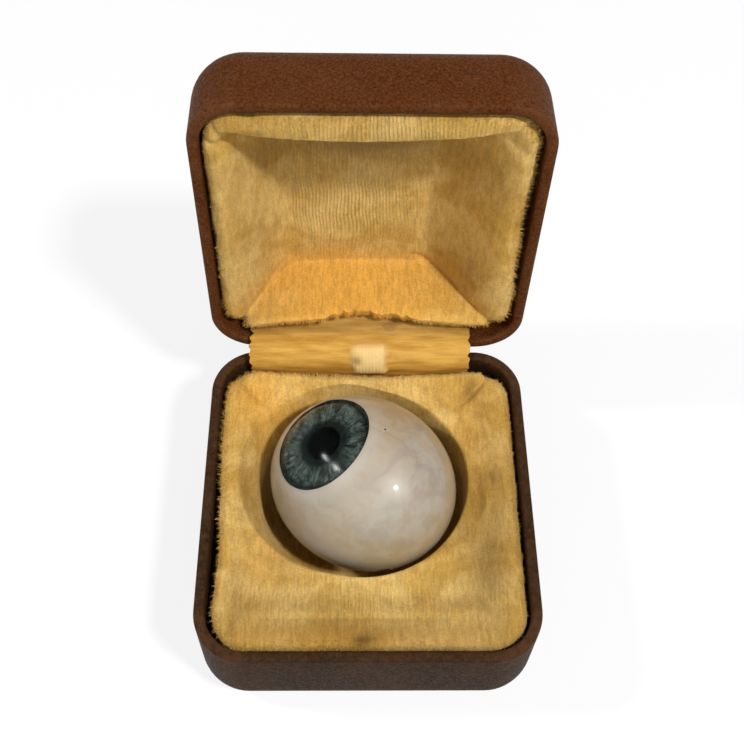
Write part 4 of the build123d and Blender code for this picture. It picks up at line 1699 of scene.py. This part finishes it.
@dataclass
class GlassEye:
    """The blown eye: opal white, iris, pupil, clear cornea and the scar of the tube."""

    middle: Place = (-0.65, 2.75, 12.85)
    gaze: Place = (-0.481, 0.08, 0.873)
    long_way: Place = (0.667, -0.613, 0.424)
    long_r: float = 12.6
    round_r: float = 10.6
    back: float = 6.8
    pocket_r: float = 6.3
    pocket_z: float = 8.2
    iris_at: Spot = (-0.85, 0.2)
    iris_r: float = 6.0
    pupil_r: float = 2.05
    apex: float = 11.1
    cornea_r: float = 8.4
    iris_lift: float = 0.25
    iris_cup: float = 0.22
    flute_depth: float = 0.03
    pupil_lift: float = 0.52
    pupil_dome: float = 0.1
    ring_tube_r: float = 0.24
    ring_lift: float = 0.36
    cornea_gap: float = 0.03
    cornea_t: float = 0.75
    scar_way: Place = (0.25, -0.95, -0.15)
    speck_way: Place = (0.235, 0.14, 0.96)

    def pose(self) -> Matrix:
        """Give the turn and place of the eye's own frame, whose z axis is the gaze.

        Returns:
            The matrix from the eye's frame to the part's, in millimetres.
        """
        z_axis = Vector(self.gaze).normalized()
        x_axis = Vector(self.long_way)
        x_axis = (x_axis - x_axis.dot(z_axis) * z_axis).normalized()
        turn = Matrix((x_axis, z_axis.cross(x_axis), z_axis)).transposed().to_4x4()
        return Matrix.Translation(self.middle) @ turn

    def surface_z(self, x: np.ndarray, y: np.ndarray) -> np.ndarray:
        """Give the height of the eye's outer form over x and y from the iris's middle.

        Args:
            x: The places' x.
            y: The places' y.

        Returns:
            A height for each place, in the eye's own frame.
        """
        across = (x + self.iris_at[0]) / self.long_r
        along = (y + self.iris_at[1]) / self.round_r
        share = 1.0 - across**2 - along**2
        return self.round_r * np.sqrt(np.maximum(share, 0.0))

    def finish(self, piece: Piece, material: bpy.types.Material, slot: str, sharp: float,
               *nodes: str) -> None:
        """Turn a piece from the eye's frame into its place and dress it.

        Args:
            piece: The piece, in the eye's own frame.
            material: Its finish.
            slot: The record's material slot.
            sharp: The angle in degrees past which an edge stays sharp.
            nodes: The nodes that it stands for.
        """
        piece.turn(self.pose())
        piece.settle(material, slot, sharp)
        piece.ride(Body.EYE)
        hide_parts(*nodes)

    def white(self) -> None:
        """Shape the opal body round its iris pocket, flattened behind."""
        segments, rings, pocket_ring = 192, 150, 26
        piece, ring, column = round_grid("eye_white", segments, rings)
        angle = 2 * np.pi * column / segments
        reach = np.array((self.long_r, self.round_r, self.round_r))
        rim_x = self.pocket_r * np.cos(angle)
        rim_y = self.pocket_r * np.sin(angle)
        rim_z = self.surface_z(rim_x, rim_y)
        rim = np.stack((rim_x + self.iris_at[0], rim_y + self.iris_at[1], rim_z), axis=1) / reach
        sweep = np.arccos(-rim[:, 2])
        share = np.clip((ring - pocket_ring) / (rings - pocket_ring), 0.0, 1.0)
        ahead = (np.sin((1.0 - share) * sweep) / np.sin(sweep))[:, None]
        behind = (np.sin(share * sweep) / np.sin(sweep))[:, None]
        x, y, z = ((ahead * rim - behind * np.array((0.0, 0.0, 1.0))) * reach).T
        inner = np.clip(ring / (pocket_ring - 10), 0.0, 1.0)
        wall = np.clip((ring - (pocket_ring - 10)) / 10.0, 0.0, 1.0)
        inside = ring < pocket_ring
        x = np.where(inside, inner * rim_x + self.iris_at[0], x)
        y = np.where(inside, inner * rim_y + self.iris_at[1], y)
        z = np.where(inside, self.pocket_z + (rim_z - self.pocket_z) * wall, z)
        soft = 1.3
        low = -self.back + soft
        z = np.where(z < low, low - soft * (1.0 - np.exp((z - low) / soft)), z)
        points = np.stack((x, y, z), axis=1)
        piece.shape(points)
        side = np.stack((x / self.long_r, y / self.round_r, z / self.round_r), axis=1)
        milk = np.exp(-((side - np.array((0.55, 0.0, 0.6))) ** 2).sum(axis=1) / 0.2)
        milk += np.exp(-((side - np.array((0.2, -0.85, 0.25))) ** 2).sum(axis=1) / 0.12)
        off_iris = np.hypot(x - self.iris_at[0], y - self.iris_at[1])
        halo = np.exp(-(((off_iris - self.pocket_r - 0.5) / 0.8) ** 2)) * (z > 0.0)
        piece.mark("milk", 0.6 * milk + 0.45 * halo)
        vein = np.exp(-((side - np.array((0.75, 0.35, 0.5))) ** 2).sum(axis=1) / 0.35)
        piece.mark("vein", vein)
        blush = np.exp(-((side - np.array((-0.15, -0.8, 0.5))) ** 2).sum(axis=1) / 0.05)
        piece.mark("blush", 0.25 * blush + 0.12 * vein)
        piece.outward()
        self.finish(piece, OPAL.material(), "opal_glass", 50.0, "eye_sclera")

    def disc(self, name: str, outer_r: float, segments: int, rings: int,
             top: Callable[[np.ndarray, np.ndarray], np.ndarray], thickness: float) -> Piece:
        """Make a round plate about the gaze whose top follows a height function.

        Args:
            name: The piece's name.
            outer_r: Its radius.
            segments: The number of columns round it.
            rings: The number of rings on its top.
            top: Gives the height at each radius and angle.
            thickness: From its top down to its flat back at the edge.

        Returns:
            The plate, in the eye's own frame.
        """
        piece, ring, column = round_grid(name, segments, rings + 4)
        angle = 2 * np.pi * column / segments
        share = np.clip(ring / rings, 0.0, 1.0)
        radius = outer_r * share
        height = top(radius, angle)
        back = top(np.full_like(angle, outer_r), angle).min() - thickness
        under = ring > rings
        fall = np.clip((rings + 4 - ring) / 3.0, 0.0, 1.0)
        radius = np.where(under, outer_r * fall, radius)
        height = np.where(under, back, height)
        piece.shape(np.stack((radius * np.cos(angle), radius * np.sin(angle), height), axis=1))
        piece.outward()
        piece.turn(Matrix.Translation((*self.iris_at, 0.0)))
        return piece

    def iris_top(self, radius: np.ndarray, angle: np.ndarray) -> np.ndarray:
        """Give the height of the iris, a shallow bowl with fine flutes that run outwards.

        Args:
            radius: The distance from the iris's middle.
            angle: The angle about it.

        Returns:
            A height for each place.
        """
        share = np.clip((radius - self.pupil_r) / (self.iris_r - self.pupil_r), 0.0, 1.0)
        waves = np.sin(47 * angle + 2.0 * np.sin(5 * angle)) + 0.6 * np.sin(83 * angle)
        flutes = self.flute_depth * waves * np.sin(np.pi * share)
        return self.pocket_z + self.iris_lift + self.iris_cup * share + flutes

    def pupil_top(self, radius: np.ndarray, angle: np.ndarray) -> np.ndarray:
        """Give the height of the pupil, a low dome.

        Args:
            radius: The distance from the iris's middle.
            angle: The angle about it.

        Returns:
            A height for each place.
        """
        dome = self.pupil_dome * np.cos(radius / self.pupil_r * math.pi / 2)
        return self.pocket_z + self.pupil_lift + dome

    def cornea_top(self, radius: np.ndarray, angle: np.ndarray) -> np.ndarray:
        """Give the height of the clear dome, which runs flush into the white.

        Args:
            radius: The distance from the iris's middle.
            angle: The angle about it.

        Returns:
            A height for each place.
        """
        body = self.surface_z(radius * np.cos(angle), radius * np.sin(angle))
        ball = self.apex - self.cornea_r + np.sqrt(self.cornea_r**2 - radius**2) + 0.1
        return -soft_min(-ball, -body, 0.5) - 0.1

    def iris(self) -> None:
        """Build the iris and the pupil on it."""
        iris = self.disc("iris", self.iris_r, 288, 60, self.iris_top, 0.3)
        self.finish(iris, IRIS.material(), "iris_glass", 50.0, "eye_iris")
        pupil = self.disc("pupil", self.pupil_r, 96, 24, self.pupil_top, 0.4)
        self.finish(pupil, PUPIL.material(), "pupil_glass", 50.0, "eye_pupil")

    def limbus(self) -> None:
        """Turn the dark ring at the iris's edge from a round section."""
        Piece.clear()
        bpy.ops.mesh.primitive_torus_add(
            major_radius=self.iris_r + 0.08, minor_radius=self.ring_tube_r, major_segments=144,
            minor_segments=16, location=(*self.iris_at, self.pocket_z + self.ring_lift))
        ring = Piece("limbus_ring")
        points = ring.points()
        angle = np.arctan2(points[:, 1], points[:, 0])
        points[:, 2] += 0.03 * np.sin(9 * angle) + 0.02 * np.sin(23 * angle)
        ring.shape(points)
        self.finish(ring, LIMBUS.material(), "limbus_glass", 60.0, "eye_limbus")

    def cornea(self) -> None:
        """Build the clear dome over the iris."""
        outer_r = self.pocket_r - self.cornea_gap
        piece = self.disc("cornea", outer_r, 192, 60, self.cornea_top, self.cornea_t)
        self.finish(piece, CRYSTAL.material(), "crystal", 60.0, "eye_cornea")

    def scar(self) -> None:
        """Press the tube's scar and one stray speck onto the white."""
        way = Vector(self.scar_way).normalized()
        inverse = self.pose().inverted()
        spots = [("tube_scar", way, (1.15, 0.75, 0.16), ["eye_seal"]),
                 ("glass_speck", Vector(self.speck_way), (0.14, 0.1, 0.05), [])]
        for name, heading, size, nodes in spots:
            local = inverse.to_3x3() @ heading
            reach = math.sqrt((local.x / self.long_r) ** 2 + (local.y / self.round_r) ** 2
                              + (local.z / self.round_r) ** 2)
            place = local / reach
            normal = Vector((place.x / self.long_r**2, place.y / self.round_r**2,
                             place.z / self.round_r**2)).normalized()
            Piece.clear()
            bpy.ops.mesh.primitive_ico_sphere_add(subdivisions=4, radius=1.0, scale=size)
            drop = Piece(name)
            points = drop.points()
            points *= (1.0 + 0.22 * ripple(points, 0.5, 7.0))[:, None]
            drop.shape(points)
            drop.turn(Matrix.Translation(place) @ normal.to_track_quat("Z", "Y").to_matrix().to_4x4())
            self.finish(drop, SCAR.material(), "seal_glass", 60.0, *nodes)

    def build(self) -> None:
        """Make every piece of the eye."""
        self.white()
        self.iris()
        self.limbus()
        self.cornea()
        self.scar()


EYE = GlassEye()
IRIS = IrisGlass("iris_glass", EYE.pose().to_euler(), tuple(EYE.pose() @ Vector((*EYE.iris_at, 0.0))),
                 tint(14, 20, 19), tint(34, 44, 42), tint(100, 114, 110), tint(58, 70, 54))


def dress_nodes() -> None:
    """Give every node of the part that stays as it is its procedural finish."""
    finishes = {
        "base_shell": STEEL, "lid_shell": STEEL, "hinge_pin": STEEL, "snap_spring": STEEL,
        "hinge_leaf_base": BRASS, "hinge_leaf_lid": BRASS, "hinge_rivets_base": BRASS,
        "hinge_rivets_lid": BRASS, "spring_rivet": BRASS, "base_card": BOARD, "lid_card": BOARD,
        "base_wadding": COTTON, "lid_wadding": COTTON, "base_velvet": VELVET,
        "lid_velvet": VELVET, "base_cover": SHADED_BASE_LEATHER, "lid_cover": LIT_LID_LEATHER,
        "hinge_strip": SATEEN, "spine_strip": SHADED_BASE_LEATHER, "eye_sclera": OPAL,
        "eye_seal": SCAR, "eye_iris": IRIS, "eye_pupil": PUPIL, "eye_limbus": LIMBUS,
        "eye_cornea": CRYSTAL,
    }
    for name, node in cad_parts.items():
        material = finishes[name].material()
        if not node.material_slots:
            node.data.materials.append(material)
        for slot in node.material_slots:
            slot.material = material


# The studio

@dataclass
class Studio:
    """Floor, lights and camera."""

    camera_place: Place = (-2.731, -60.336, 137.270)
    heading: float = -2.33
    dip: float = 55.06
    roll: float = 2.227
    lens: float = 53.5
    shift_y: float = -0.0618
    sensor: float = 36.0
    floor_span: float = 6.0
    floor_z: float = -0.02
    middle: Place = (0.0, 10.0, 20.0)

    def camera(self) -> None:
        """Set the camera at the photograph's viewing angle."""
        data = bpy.data.cameras.new("camera")
        data.sensor_width = self.sensor
        data.lens = self.lens
        data.shift_y = self.shift_y
        data.clip_start = 0.005
        camera = bpy.data.objects.new("camera", data)
        bpy.context.scene.collection.objects.link(camera)
        turn = (Matrix.Rotation(math.radians(self.heading), 4, "Z")
                @ Matrix.Rotation(math.radians(90.0 - self.dip), 4, "X")
                @ Matrix.Rotation(math.radians(self.roll), 4, "Z"))
        camera.matrix_world = Matrix.Translation(Vector(self.camera_place) * MM) @ turn
        bpy.context.scene.camera = camera

    def lamp(self, name: str, way: Place, distance: float, size: float, power: float) -> None:
        """Add an area lamp that looks at the object.

        Args:
            name: The lamp's name.
            way: From the object to the lamp.
            distance: In metres.
            size: Its width, in metres.
            power: In watts.
        """
        data = bpy.data.lights.new(name, "AREA")
        data.shape = "DISK"
        data.size = size
        data.energy = power
        lamp = bpy.data.objects.new(name, data)
        bpy.context.scene.collection.objects.link(lamp)
        heading = Vector(way).normalized()
        lamp.matrix_world = (Matrix.Translation(Vector(self.middle) * MM + heading * distance)
                             @ heading.to_track_quat("Z", "Y").to_matrix().to_4x4())

    @staticmethod
    def seen_directly(nodes: Nodes) -> bpy.types.NodeSocket:
        """Tell rays that show the background from rays that light the object.

        Args:
            nodes: The nodes of the floor or of the world.

        Returns:
            1 for rays that show the background, 0 for the others.
        """
        path = nodes.add("LightPath")
        direct = nodes.math("MAXIMUM", path.outputs["Is Camera Ray"], path.outputs["Is Glossy Ray"])
        return nodes.math("MAXIMUM", direct, path.outputs["Is Transmission Ray"])

    def floor(self) -> None:
        """Lay the pale floor, which keeps a light shadow."""
        Piece.clear()
        bpy.ops.mesh.primitive_plane_add(size=self.floor_span, location=(0, 0, self.floor_z * MM))
        floor = bpy.context.object
        floor.name = "floor"
        material = bpy.data.materials.new("pale_floor")
        material.use_nodes = True
        nodes = Nodes(material.node_tree)
        matt = nodes.add("BsdfDiffuse")
        matt.inputs["Color"].default_value = (0.86, 0.86, 0.86, 1.0)
        glow = nodes.add("Emission")
        glow.inputs["Color"].default_value = (1.0, 1.0, 1.0, 1.0)
        blend = nodes.add("MixShader")
        nodes.feed(blend.inputs[0], nodes.math("MULTIPLY", self.seen_directly(nodes), 0.8))
        nodes.feed(blend.inputs[1], matt.outputs[0])
        nodes.feed(blend.inputs[2], glow.outputs[0])
        nodes.feed(nodes.add("OutputMaterial").inputs["Surface"], blend.outputs[0])
        floor.data.materials.append(material)

    def surround(self) -> None:
        """Light the object evenly from all round, with a white background."""
        world = bpy.data.worlds.new("studio")
        world.use_nodes = True
        bpy.context.scene.world = world
        nodes = Nodes(world.node_tree)
        back = nodes.add("Background")
        nodes.feed(back.inputs["Strength"], nodes.fit(self.seen_directly(nodes), 0, 1, 0.26, 1.0))
        nodes.feed(nodes.add("OutputWorld").inputs["Surface"], back.outputs[0])
        back.inputs["Color"].default_value = (1.0, 1.0, 1.0, 1.0)

    def build(self) -> None:
        """Set up everything that isn't the object."""
        self.camera()
        self.floor()
        self.surround()
        self.lamp("key", (0.40, -0.36, 0.843), 0.6, 0.06, 2.9)
        self.lamp("second", (-0.692, 0.023, 0.722), 0.6, 0.05, 1.3)
        self.lamp("front", (-0.12, -0.85, 0.56), 0.9, 0.65, 1.25)
        bpy.context.scene.view_settings.view_transform = "Standard"


def main() -> None:
    """Dress the part, piece by piece, and set it in the studio."""
    logging.basicConfig(level=logging.INFO, format="%(name)s %(message)s")
    make_groups()
    dress_nodes()
    CaseSkins().build()
    linings = Linings()
    linings.base()
    linings.lid()
    hinge = HingeDress()
    hinge.strip()
    hinge.spine()
    EYE.build()
    Studio().build()


if __name__ == "__main__":
    main()
